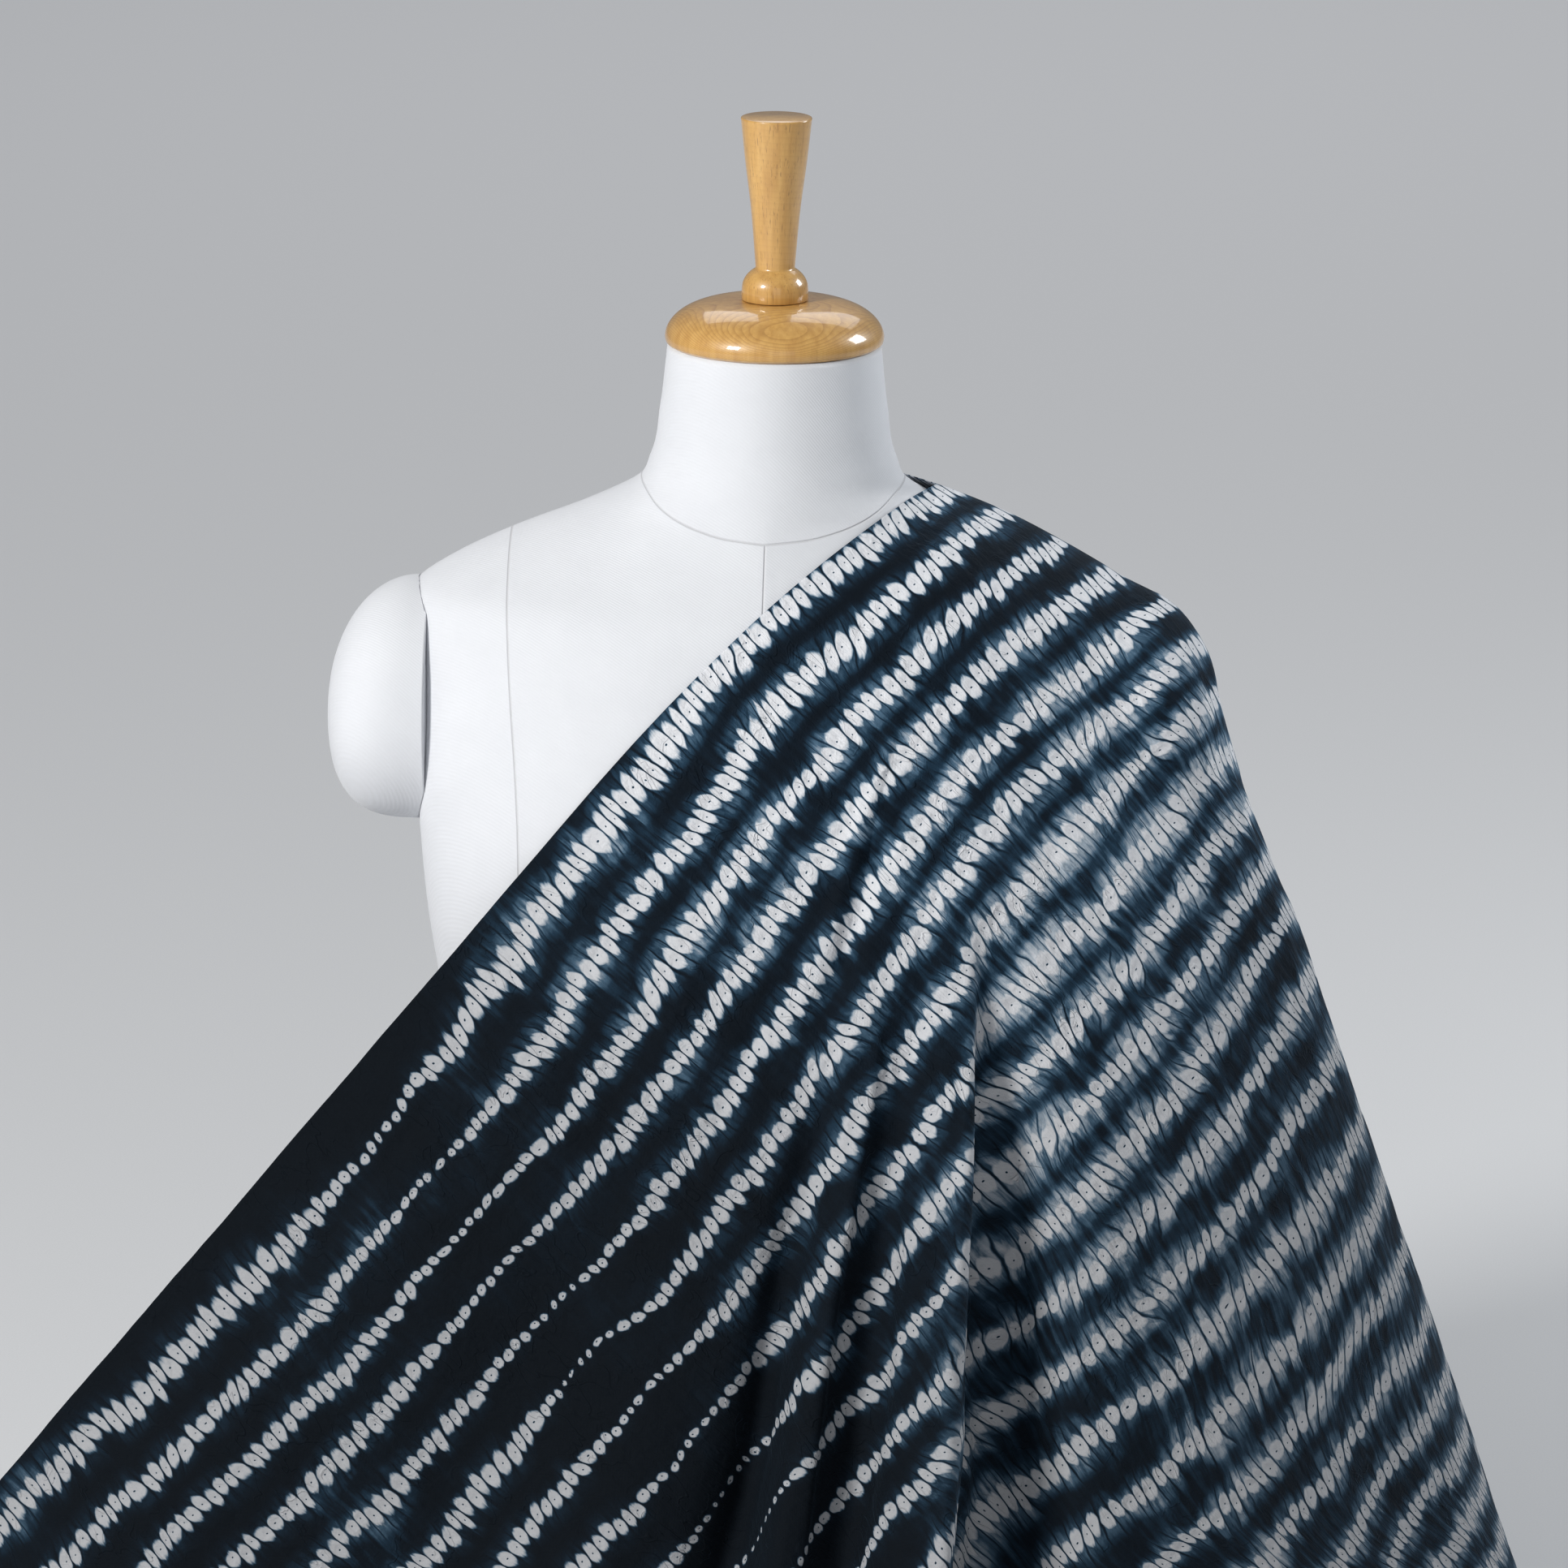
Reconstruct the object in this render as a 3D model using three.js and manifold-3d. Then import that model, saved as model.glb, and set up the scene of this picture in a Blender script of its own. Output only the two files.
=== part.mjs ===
// Stitched shibori cotton draped over one shoulder of a tailor's dress form.
// Millimetres, +Z up, +X to the viewer's right, -Y towards the viewer.
// The origin is the middle of the form's flat underside, on the surface that carries it.

import * as THREE from "three";
import { mergeVertices } from "three/addons/utils/BufferGeometryUtils.js";
import Module from "manifold-3d";

const wasm = await Module();
wasm.setup();

// Driving sizes
const fit = 0.3;                 // gap left between pieces that touch
const neckTop = 741.2;           // height of the flat top of the neck
const armholeX = 172;            // plane inside the torso from which an arm cap grows
const capRadius = 58.3;          // turned wooden neck cap
const capRim = 4;                // height of the cap's edge below its dome
const domeRise = 19.5;
const collarRadius = 17.7;       // turned collar at the foot of the handle
const handleTop = 863;           // height of the top of the handle
const clothThickness = 2;
const clothGap = 2.9;            // air between the form and the near side of the cloth
const clear = clothGap + clothThickness / 2;
const armClear = clear + 1.2;
const floorBend = 30;            // length over which the falling cloth turns on to the surface
const spread = { over: 120, keep: 0.42 };  // folds open out over the last stretch of their fall

// Torso and neck, one row for each level: half width, depth to the front and to the back,
// and how square the section is (2 is an ellipse).
const torsoLevels = [
  { z: 0, half: 176, front: 106, back: 110, square: 2.3 },
  { z: 80, half: 173, front: 106, back: 109, square: 2.3 },
  { z: 170, half: 158, front: 99, back: 97, square: 2.2 },
  { z: 250, half: 152, front: 94, back: 88, square: 2.2 },
  { z: 320, half: 163, front: 100, back: 90, square: 2.3 },
  { z: 393, half: 178, front: 112, back: 98, square: 2.4 },
  { z: 436, half: 184.5, front: 118, back: 104, square: 2.5 },
  { z: 480, half: 188.5, front: 120, back: 108, square: 2.5 },
  { z: 529, half: 193, front: 116, back: 110, square: 2.4 },
  { z: 560, half: 195, front: 109, back: 107, square: 2.3 },
  { z: 590, half: 195.5, front: 99, back: 100, square: 2.1 },
  { z: 608, half: 192, front: 92, back: 94, square: 1.9 },
  { z: 624, half: 170, front: 84, back: 86, square: 1.65 },
  { z: 641, half: 135, front: 76, back: 78, square: 1.5 },
  { z: 655, half: 99, front: 69, back: 70, square: 1.6 },
  { z: 667, half: 73.5, front: 65, back: 65, square: 1.9 },
  { z: 681, half: 65.5, front: 62, back: 61, square: 2 },
  { z: 708, half: 60.5, front: 59, back: 58, square: 2 },
  { z: neckTop, half: 56.8, front: 56.5, back: 55.5, square: 2 },
];

// Arm cap: its widest place, how far it stands out, its half sizes, and how square its outline is,
// which is less above its middle than below
const armCap = { x: 190, y: -2, z: 541, outX: 48, halfY: 58, up: 70, down: 62, square: 2.45, drop: 0.45 };

// Cloth, one row for each line that it falls along, from the front selvedge over the chest,
// the arm and the back to the other end of the selvedge. All lines start at the shoulder point.
// Each runs along the shoulder towards its turn, then straight down to its place on the surface,
// and lies there for the length of its lip.
const shoulder = { x: 87, y: 4, z: 666 };
const fallLines = [
  { name: "front selvedge", turnX: -6, turnY: -105, turnZ: 622, floorX: -513, floorY: -114, lip: 70 },
  { name: "left waist", turnX: 14, turnY: -103, turnZ: 632, floorX: -395, floorY: -155, lip: 60 },
  { name: "left hip", turnX: 32, turnY: -99, turnZ: 645, floorX: -235, floorY: -192, lip: 52 },
  { name: "centre front", turnX: 57, turnY: -92, turnZ: 659, floorX: -70, floorY: -216, lip: 48 },
  { name: "bust", turnX: 88, turnY: -85, turnZ: 656, floorX: 90, floorY: -222, lip: 52 },
  { name: "right front", turnX: 125, turnY: -70, turnZ: 649, floorX: 256, floorY: -195, lip: 44 },
  { name: "front of arm", turnX: 181, turnY: -40, turnZ: 639, floorX: 373, floorY: -105, lip: 38 },
  { name: "arm", turnX: 214, turnY: 4, turnZ: 635, floorX: 432, floorY: 15, lip: 36 },
  { name: "back of arm", turnX: 182, turnY: 38, turnZ: 639, floorX: 402, floorY: 125, lip: 36 },
  { name: "right back", turnX: 120, turnY: 64, turnZ: 649, floorX: 285, floorY: 218, lip: 40 },
  { name: "shoulder blade", turnX: 84, turnY: 74, turnZ: 656, floorX: 95, floorY: 256, lip: 46 },
  { name: "centre back", turnX: 47, turnY: 82, turnZ: 659, floorX: -75, floorY: 236, lip: 44 },
  { name: "left back", turnX: 20, turnY: 91, turnZ: 661, floorX: -195, floorY: 190, lip: 50 },
  { name: "back selvedge", turnX: 0, turnY: 100, turnZ: 661, floorX: -262, floorY: 142, lip: 58 },
];

// Folds, one row for each: the fall lines it lies on at its top end and at the surface, how far
// from the shoulder it starts, and half its width, its height and its sideways lean at the surface.
const folds = [
  { top: 1.2, foot: 1, start: 380, half: 0.75, height: 9, lean: 0 },
  { top: 2.3, foot: 2.1, start: 300, half: 0.5, height: -10, lean: 0 },
  { top: 3, foot: 2.72, start: 420, half: 0.3, height: 9, lean: -4 },
  { top: 3.45, foot: 3.22, start: 340, half: 0.24, height: -28, lean: 0 },
  { top: 3.63, foot: 3.49, start: 290, half: 0.22, height: 28, lean: -8 },
  { top: 3.78, foot: 3.67, start: 290, half: 0.16, height: -12, lean: 0 },
  { top: 4.35, foot: 3.87, start: 225, half: 0.34, height: 60, lean: 24 },
  { top: 4.72, foot: 4.28, start: 235, half: 0.36, height: -34, lean: -10 },
  { top: 5.3, foot: 5.2, start: 330, half: 0.5, height: 10, lean: 5 },
  { top: 6.1, foot: 6.2, start: 420, half: 0.45, height: -9, lean: 0 },
  { top: 7.75, foot: 7.8, start: 260, half: 0.5, height: 16, lean: 8 },
  { top: 8.4, foot: 8.55, start: 250, half: 0.5, height: -26, lean: 0 },
  { top: 9.1, foot: 9.3, start: 230, half: 0.5, height: 34, lean: -16 },
  { top: 9.9, foot: 10, start: 300, half: 0.42, height: -22, lean: 0 },
  { top: 10.4, foot: 10.7, start: 250, half: 0.42, height: 30, lean: 12 },
  { top: 11.3, foot: 11.4, start: 320, half: 0.45, height: -18, lean: 0 },
  { top: 12, foot: 12.2, start: 280, half: 0.5, height: 20, lean: 8 },
];

// Mesh steps
const torsoSides = 44;
const clothColumns = 96;
const foldedPart = { from: 2.95, to: 4.7, finer: 3.9 };
const clothRows = { turn: 12, fall: 10, bend: 3, lip: 1 };
const settleRounds = 17;
const edgePull = 0.3;            // how far the selvedge gives way in a round; the rest gives by half

const white = { color: 0xe9e7e4, roughness: 0.85, metalness: 0 };
const wood = { color: 0xc08a45, roughness: 0.3, metalness: 0 };
const indigo = { color: 0x14263a, roughness: 0.9, metalness: 0 };

// Helpers

// Smooth value between the rows of a table, at place 0 for its first row
function between(rows, column, place) {
  const last = rows.length - 1;
  const i = Math.min(Math.floor(place), last - 1);
  const f = place - i;
  const a = rows[Math.max(i - 1, 0)][column];
  const b = rows[i][column];
  const c = rows[i + 1][column];
  const d = rows[Math.min(i + 2, last)][column];
  const slopeB = (c - a) / 2;
  const slopeC = (d - b) / 2;
  const f2 = f * f;
  const f3 = f2 * f;
  return (2 * f3 - 3 * f2 + 1) * b + (f3 - 2 * f2 + f) * slopeB
    + (3 * f2 - 2 * f3) * c + (f3 - f2) * slopeC;
}

// Reshapes a closed geometry point by point, and closes what falls together
function reshape(geometry, place) {
  const position = geometry.attributes.position;
  const point = new THREE.Vector3();
  for (let i = 0; i < position.count; i += 1) {
    point.fromBufferAttribute(position, i);
    place(point);
    position.setXYZ(i, point.x, point.y, point.z);
  }
  return closed(geometry);
}

function closed(geometry) {
  geometry.deleteAttribute("normal");
  geometry.deleteAttribute("uv");
  const merged = mergeVertices(geometry, 0.001);
  const corners = merged.index.array;
  const kept = [];
  for (let i = 0; i < corners.length; i += 3) {
    const [a, b, c] = [corners[i], corners[i + 1], corners[i + 2]];
    if (a !== b && b !== c && c !== a) kept.push(a, b, c);
  }
  merged.setIndex(kept);
  merged.computeVertexNormals();
  return merged;
}

function toManifold(geometry) {
  const vertProperties = new Float32Array(geometry.attributes.position.array);
  const triVerts = new Uint32Array(geometry.index.array);
  return new wasm.Manifold(new wasm.Mesh({ numProp: 3, vertProperties, triVerts }));
}

function fromManifold(solid) {
  const mesh = solid.getMesh();
  const geometry = new THREE.BufferGeometry();
  geometry.setAttribute("position", new THREE.BufferAttribute(mesh.vertProperties, 3));
  geometry.setIndex(new THREE.BufferAttribute(mesh.triVerts, 1));
  geometry.computeVertexNormals();
  return geometry;
}

// The form

function torsoSection(z) {
  const last = torsoLevels.length - 1;
  let i = 0;
  while (i < last - 1 && torsoLevels[i + 1].z < z) i += 1;
  const rise = torsoLevels[i + 1].z - torsoLevels[i].z;
  const f = THREE.MathUtils.clamp((z - torsoLevels[i].z) / rise, 0, 1);
  const mix = (column) => THREE.MathUtils.lerp(torsoLevels[i][column], torsoLevels[i + 1][column], f);
  return { half: mix("half"), front: mix("front"), back: mix("back"), square: mix("square") };
}

function torsoGeometry(grow) {
  const rings = torsoLevels.length - 1;
  const drum = new THREE.CylinderGeometry(1, 1, rings, torsoSides, rings);
  return reshape(drum, (p) => {
    const level = torsoLevels[Math.round(p.y + rings / 2)];
    const reach = Math.hypot(p.x, p.z);
    const turn = Math.atan2(-p.z, p.x);
    const round = 2 / level.square;
    const depth = Math.sin(turn) > 0 ? level.back : level.front;
    const c = Math.cos(turn);
    const s = Math.sin(turn);
    p.set(
      reach * Math.sign(c) * Math.abs(c) ** round * (level.half + grow),
      reach * Math.sign(s) * Math.abs(s) ** round * (depth + grow),
      level.z,
    );
  });
}

// A rounded stump on the armhole, cut to the torso's side
function armCapGeometry(side) {
  const steps = 9;
  const profile = [new THREE.Vector2(0, 0), new THREE.Vector2(1, 0)];
  for (let i = 0; i <= steps; i += 1) {
    const turn = (i / steps) * (Math.PI / 2);
    profile.push(new THREE.Vector2(i === steps ? 0 : Math.cos(turn), 1 + Math.sin(turn)));
  }
  const root = armCap.x - armholeX;
  const stump = reshape(new THREE.LatheGeometry(profile, 32), (p) => {
    const radius = Math.hypot(p.x, p.z);
    const round = 2 / armSquare(radius > 0 ? p.x / radius : 0);
    const wide = p.y > 1 && radius > 0 ? radius ** round / radius : 1;
    const out = p.y > 1 ? root + (p.y - 1) ** round * armCap.outX : p.y * root;
    const tall = p.x > 0 ? armCap.up : armCap.down;
    p.set(
      side * (armholeX + out),
      armCap.y + side * p.z * wide * armCap.halfY,
      armCap.z + p.x * wide * tall,
    );
  });
  const cut = toManifold(stump).subtract(toManifold(torsoGeometry(1.6 * fit)));
  return fromManifold(cut);
}

function armSquare(upward) {
  return armCap.square - armCap.drop * upward;
}

function neckCapGeometry() {
  const base = neckTop + fit;
  const points = [
    new THREE.Vector2(0, base),
    new THREE.Vector2(capRadius - 2.5, base),
    new THREE.Vector2(capRadius - 0.6, base + 1.4),
    new THREE.Vector2(capRadius, base + capRim),
  ];
  const steps = 9;
  for (let i = 1; i <= steps; i += 1) {
    const turn = (i / steps) * (Math.PI / 2);
    const radius = THREE.MathUtils.lerp(collarRadius + 1, capRadius, Math.cos(turn) ** 0.8);
    points.push(new THREE.Vector2(radius, base + capRim + domeRise * Math.sin(turn) ** 1.05));
  }
  points.push(new THREE.Vector2(0, base + capRim + domeRise));
  return closed(lathed(points, 40));
}

function finialGeometry() {
  const foot = neckTop + fit + capRim + domeRise + fit;
  const points = [
    new THREE.Vector2(0, foot),
    new THREE.Vector2(collarRadius, foot),
    new THREE.Vector2(collarRadius, foot + 5.5),
    new THREE.Vector2(17.2, foot + 9),
    new THREE.Vector2(15.4, foot + 12.6),
    new THREE.Vector2(12.9, foot + 15.2),
    new THREE.Vector2(10.6, foot + 16.8),
    new THREE.Vector2(10.5, foot + 19),
    new THREE.Vector2(13.2, foot + 49),
    new THREE.Vector2(16.5, foot + 75),
    new THREE.Vector2(18.8, handleTop - 1.2),
    new THREE.Vector2(18.2, handleTop),
    new THREE.Vector2(0, handleTop),
  ];
  return closed(lathed(points, 32));
}

// A lathe turns about Y, so its result is stood up along Z
function lathed(points, sides) {
  const geometry = new THREE.LatheGeometry(points, sides);
  geometry.rotateX(Math.PI / 2);
  return geometry;
}

// The cloth

// The line that the cloth falls along at one place of the table, as a curve with four stretches
function fallCurve(place) {
  const at = (column) => between(fallLines, column, place);
  const start = new THREE.Vector3(shoulder.x, shoulder.y, shoulder.z);
  const turn = new THREE.Vector3(at("turnX"), at("turnY"), at("turnZ"));
  const floor = new THREE.Vector3(at("floorX"), at("floorY"), clothThickness / 2);
  const down = floor.clone().sub(turn).normalize();
  const leave = turn.clone().addScaledVector(down, start.distanceTo(turn));
  const touch = floor.clone().addScaledVector(down, -floorBend);
  const out = outward(place);
  const settled = floor.clone().addScaledVector(out, floorBend);
  const hem = floor.clone().addScaledVector(out, at("lip"));
  return [
    new THREE.QuadraticBezierCurve3(start, turn, leave),
    new THREE.LineCurve3(leave, touch),
    new THREE.QuadraticBezierCurve3(touch, floor, settled),
    new THREE.LineCurve3(settled, hem),
  ];
}

// Level direction square to the cloth's line on the surface, away from the form
function outward(place) {
  const step = 0.2;
  const a = Math.max(place - step, 0);
  const b = Math.min(place + step, fallLines.length - 1);
  const dx = between(fallLines, "floorX", b) - between(fallLines, "floorX", a);
  const dy = between(fallLines, "floorY", b) - between(fallLines, "floorY", a);
  return new THREE.Vector3(dy, -dx, 0).normalize();
}

// How far the folds move the cloth at one place, so far below the shoulder
function foldShift(place, distance, reach) {
  const shift = { out: 0, along: 0 };
  for (const fold of folds) {
    if (distance <= fold.start) continue;
    const grown = Math.min((distance - fold.start) / (reach - fold.start), 1);
    const middle = THREE.MathUtils.lerp(fold.top, fold.foot, grown);
    const across = (place - middle) / fold.half;
    if (Math.abs(across) >= 1) continue;
    const open = THREE.MathUtils.smoothstep(distance, reach - spread.over, reach);
    const swell = Math.cos(across * Math.PI / 2) ** 2 * grown ** 1.3 * (1 - open * (1 - spread.keep));
    shift.out += fold.height * swell;
    shift.along += fold.lean * swell;
  }
  return shift;
}

// How deep a point is in the space that the cloth keeps clear: below 1 is inside it
function depthInTorso(p) {
  const s = torsoSection(p.z - clear);
  const depth = p.y < 0 ? s.front : s.back;
  return (Math.abs(p.x) / (s.half + clear)) ** s.square + (Math.abs(p.y) / (depth + clear)) ** s.square;
}

function depthInArmCap(p) {
  const out = Math.max(p.x - armCap.x, 0) / (armCap.outX + armClear);
  const tall = p.z > armCap.z ? armCap.up : armCap.down;
  const level = (p.y - armCap.y) / (armCap.halfY + armClear);
  const rise = (p.z - armCap.z) / (tall + armClear);
  const around = Math.max(Math.hypot(level, rise), 0.001);
  const square = armSquare(rise / around);
  return p.x > torsoLevels[0].half / 2 ? out ** square + around ** square : 1;
}

function depthInForm(p) {
  return Math.min(depthInTorso(p), depthInArmCap(p));
}

// Moves a point out of the form by the shortest way, to lie on it with the cloth's gap
function clearForm(p) {
  for (let step = 0; step < 8; step += 1) {
    const depth = depthInForm(p);
    if (depth >= 1) return;
    const way = ["x", "y", "z"].map((axis) => {
      const beside = p.clone();
      beside[axis] += 0.5;
      return (depthInForm(beside) - depth) / 0.5;
    });
    const slope = new THREE.Vector3(...way);
    const steep = slope.length();
    if (steep < 0.001) return;
    p.addScaledVector(slope.normalize(), Math.min((1 - depth) / steep + 0.02, 8));
  }
}

// Places of the columns in the table of fall lines, closer together where the folds are deep
function columnPlaces() {
  const last = fallLines.length - 1;
  const extra = (place) => (foldedPart.finer - 1)
    * (THREE.MathUtils.clamp(place, foldedPart.from, foldedPart.to) - foldedPart.from);
  const whole = last + extra(last);
  const places = [];
  for (let i = 0; i <= clothColumns; i += 1) {
    const count = (i / clothColumns) * whole;
    const inFolds = foldedPart.from + (count - foldedPart.from) / foldedPart.finer;
    const place = inFolds > foldedPart.to ? count - extra(last) : inFolds;
    places.push(count < foldedPart.from ? count : place);
  }
  return places;
}

// Middle of the cloth: a grid of points, across from selvedge to selvedge and down to the hem
function clothMiddle() {
  const stretches = Object.values(clothRows);
  const grid = [];
  for (const place of columnPlaces()) {
    const curves = fallCurve(place);
    const out = outward(place);
    const along = new THREE.Vector3(-out.y, out.x, 0);
    const reach = curves[0].getLength() + curves[1].getLength();
    const column = [];
    let passed = 0;
    curves.forEach((curve, k) => {
      for (let j = k === 0 ? 0 : 1; j <= stretches[k]; j += 1) {
        const t = k === 1 ? (j / stretches[k]) ** 1.4 : j / stretches[k];
        const p = curve.getPointAt(t);
        const distance = passed + t * curve.getLength();
        const shift = foldShift(place, distance, reach);
        p.addScaledVector(out, shift.out);
        p.addScaledVector(along, shift.along);
        if (distance > 1) clearForm(p);
        column.push(p);
      }
      passed += curve.getLength();
    });
    grid.push(column);
  }
  settle(grid);
  flattenTop(grid);
  return grid;
}

// Evens out the cloth between its shoulder point and its fall, and keeps it on the form
function settle(grid) {
  const last = clothRows.turn + 3;
  for (let turn = 0; turn < settleRounds; turn += 1) {
    for (let i = 0; i <= clothColumns; i += 1) {
      for (let j = 1; j < last; j += 1) {
        const p = grid[i][j];
        const inside = i > 0 && i < clothColumns;
        const beside = inside ? [grid[i - 1][j], grid[i + 1][j]] : [];
        const round = [...beside, grid[i][j - 1], grid[i][j + 1]];
        const mean = new THREE.Vector3();
        round.forEach((q) => mean.addScaledVector(q, 1 / round.length));
        p.lerp(mean, inside ? 0.5 : edgePull);
        clearForm(p);
      }
    }
  }
}

// Columns that share one facet in a row, next to the shoulder point where they crowd together
function shared(j) {
  return Math.max(16 / 2 ** j, 1);
}

// Draws the crowded columns of the first rows into flat facets
function flattenTop(grid) {
  for (let j = 1; shared(j) > 1; j += 1) {
    for (let i = 0; i < clothColumns; i += 1) {
      const f = (i % shared(j)) / shared(j);
      const first = i - (i % shared(j));
      if (f > 0) grid[i][j].lerpVectors(grid[first][j], grid[first + shared(j)][j], f);
    }
  }
}

function clothGeometry() {
  const middle = clothMiddle();
  const rows = middle[0].length - 1;
  const normal = (i, j) => {
    const wide = shared(j);
    const left = middle[Math.max(i - wide, 0)][j];
    const right = middle[Math.min(i + wide, clothColumns)][j];
    const above = middle[i][Math.max(j - 1, 0)];
    const below = middle[i][Math.min(j + 1, rows)];
    const across = right.clone().sub(left);
    const down = below.clone().sub(above);
    return across.cross(down).negate().normalize();
  };
  return thickSheet(clothColumns, rows, (i, j, side) => {
    const face = new THREE.Vector3(0, 0, 1);
    if (j > 0) face.lerp(normal(i, j), 1 / shared(j)).normalize();
    return middle[i][j].clone().addScaledVector(face, side * clothThickness / 2);
  });
}

// A closed sheet from two layers of a plane's grid and the strip round their edge
function thickSheet(columns, rows, place) {
  const layer = new THREE.PlaneGeometry(columns, rows, columns, rows).index.array;
  const count = (columns + 1) * (rows + 1);
  const points = [];
  for (const side of [1, -1]) {
    for (let j = 0; j <= rows; j += 1) {
      for (let i = 0; i <= columns; i += 1) points.push(place(i, j, side));
    }
  }
  const corners = [];
  for (let k = 0; k < layer.length; k += 3) {
    const [a, b, c] = [layer[k], layer[k + 1], layer[k + 2]];
    corners.push(a, b, c, a + count, c + count, b + count);
  }
  const edge = [];
  for (let i = 0; i < columns; i += 1) edge.push(i);
  for (let j = 0; j < rows; j += 1) edge.push(j * (columns + 1) + columns);
  for (let i = columns; i > 0; i -= 1) edge.push(rows * (columns + 1) + i);
  for (let j = rows; j > 0; j -= 1) edge.push(j * (columns + 1));
  edge.forEach((a, k) => {
    const b = edge[(k + 1) % edge.length];
    corners.push(a, b, a + count, b, b + count, a + count);
  });
  const geometry = new THREE.BufferGeometry().setFromPoints(points);
  geometry.setIndex(corners);
  return closed(geometry);
}

// The whole object

function piece(name, geometry, finish) {
  const mesh = new THREE.Mesh(geometry, new THREE.MeshStandardMaterial(finish));
  mesh.name = name;
  return mesh;
}

const group = new THREE.Group();
group.add(piece("form_torso", torsoGeometry(0), white));
group.add(piece("form_arm_cap_left", armCapGeometry(-1), white));
group.add(piece("form_arm_cap_right", armCapGeometry(1), white));
group.add(piece("neck_cap", neckCapGeometry(), wood));
group.add(piece("neck_finial", finialGeometry(), wood));
group.add(piece("shibori_cloth", clothGeometry(), indigo));

export default group;
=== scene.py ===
# %% [markdown]
# # Stitched shibori cotton on a dress form
# A length of thin cotton, dyed with indigo, lies over one shoulder of a tailor's dress form. The
# white figures in it were made by hand: rows of running stitches were drawn up tight before the
# cloth went into the dye, and where the cloth was squeezed the dye could not reach it.
#
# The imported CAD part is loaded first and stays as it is. Each piece below is modelled round it,
# in the same frame and in metres, and stands for the plain solid of the same name.

# %% Load the frame
import math

import bmesh
import bpy
import numpy as np
from mathutils import Matrix, Vector, noise


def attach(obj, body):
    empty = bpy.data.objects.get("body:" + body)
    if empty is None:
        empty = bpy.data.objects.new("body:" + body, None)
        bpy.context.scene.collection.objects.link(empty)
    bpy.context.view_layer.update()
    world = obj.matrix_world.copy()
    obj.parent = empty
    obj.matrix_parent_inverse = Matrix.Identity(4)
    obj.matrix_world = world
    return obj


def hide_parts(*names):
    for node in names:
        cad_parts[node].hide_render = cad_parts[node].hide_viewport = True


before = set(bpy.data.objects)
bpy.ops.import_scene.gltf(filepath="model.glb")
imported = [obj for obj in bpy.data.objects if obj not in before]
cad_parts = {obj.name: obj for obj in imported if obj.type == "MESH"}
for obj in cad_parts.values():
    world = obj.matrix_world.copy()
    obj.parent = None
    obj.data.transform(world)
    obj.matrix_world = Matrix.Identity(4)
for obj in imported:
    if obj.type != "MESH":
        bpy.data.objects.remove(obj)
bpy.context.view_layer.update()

# %% [markdown]
# ## Sizes, in the maker's terms
# The form and the cloth are described by short tables, in millimetres, with a row for each
# section of the form and for each line that the cloth falls along. A smooth curve through a
# table's rows gives the sizes between them. The same tables drive the solids, so the looks stay
# in the space that the solids hold.

# %% Tables and the smooth curve through them
MM = 0.001


def table(names, *rows):
    """A table with a named column for each size."""
    return {name: np.array([row[k] for row in rows], float) for k, name in enumerate(names.split())}


def smooth(xs, ys, x, end_slope=1.0):
    """A smooth curve through the rows of a table, at x."""
    slopes = np.gradient(ys, xs)
    slopes[[0, -1]] *= end_slope
    i = np.clip(np.searchsorted(xs, x, side="right") - 1, 0, len(xs) - 2)
    step = xs[i + 1] - xs[i]
    f = np.clip((x - xs[i]) / step, 0, 1)
    f2, f3 = f * f, f * f * f
    return (
        (2 * f3 - 3 * f2 + 1) * ys[i]
        + (f3 - 2 * f2 + f) * step * slopes[i]
        + (3 * f2 - 2 * f3) * ys[i + 1]
        + (f3 - f2) * step * slopes[i + 1]
    )


NECK_TOP = 741.2
FORM = table(
    "z half front back square",
    (0, 176, 106, 110, 2.3),
    (80, 173, 106, 109, 2.3),
    (170, 158, 99, 97, 2.2),
    (250, 152, 94, 88, 2.2),
    (320, 163, 100, 90, 2.3),
    (393, 178, 112, 98, 2.4),
    (436, 184.5, 118, 104, 2.5),
    (480, 188.5, 120, 108, 2.5),
    (529, 193, 116, 110, 2.4),
    (560, 195, 109, 107, 2.3),
    (590, 195.5, 99, 100, 2.1),
    (608, 192, 92, 94, 1.9),
    (624, 170, 84, 86, 1.65),
    (641, 135, 76, 78, 1.5),
    (655, 99, 69, 70, 1.6),
    (667, 73.5, 65, 65, 1.9),
    (681, 65.5, 62, 61, 2),
    (708, 60.5, 59, 58, 2),
    (NECK_TOP, 56.8, 56.5, 55.5, 2),
)


def form_section(z):
    """Half width, depth in front, depth behind and squareness of the form at a height."""
    return [smooth(FORM["z"], FORM[name], z) for name in ("half", "front", "back", "square")]


# %% [markdown]
# ## Small helpers
# Every piece ends the same way: its bmesh becomes an object at the world origin, shaded smooth,
# that rides on the one body and takes the place of its solid.

# %% Make a piece from a bmesh
def make_piece(name, bm, material, stands_for):
    mesh = bpy.data.meshes.new(name)
    bm.to_mesh(mesh)
    bm.free()
    mesh.materials.append(material)
    for face in mesh.polygons:
        face.use_smooth = True
    piece = bpy.data.objects.new(name, mesh)
    bpy.context.collection.objects.link(piece)
    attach(piece, "root")
    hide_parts(stands_for)
    print(name, len(mesh.vertices), "points", len(mesh.polygons), "faces")
    return piece


# %% [markdown]
# A shader is a graph of small nodes. This helper adds nodes and joins them, so that each material
# below reads as a short list of steps.

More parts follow.
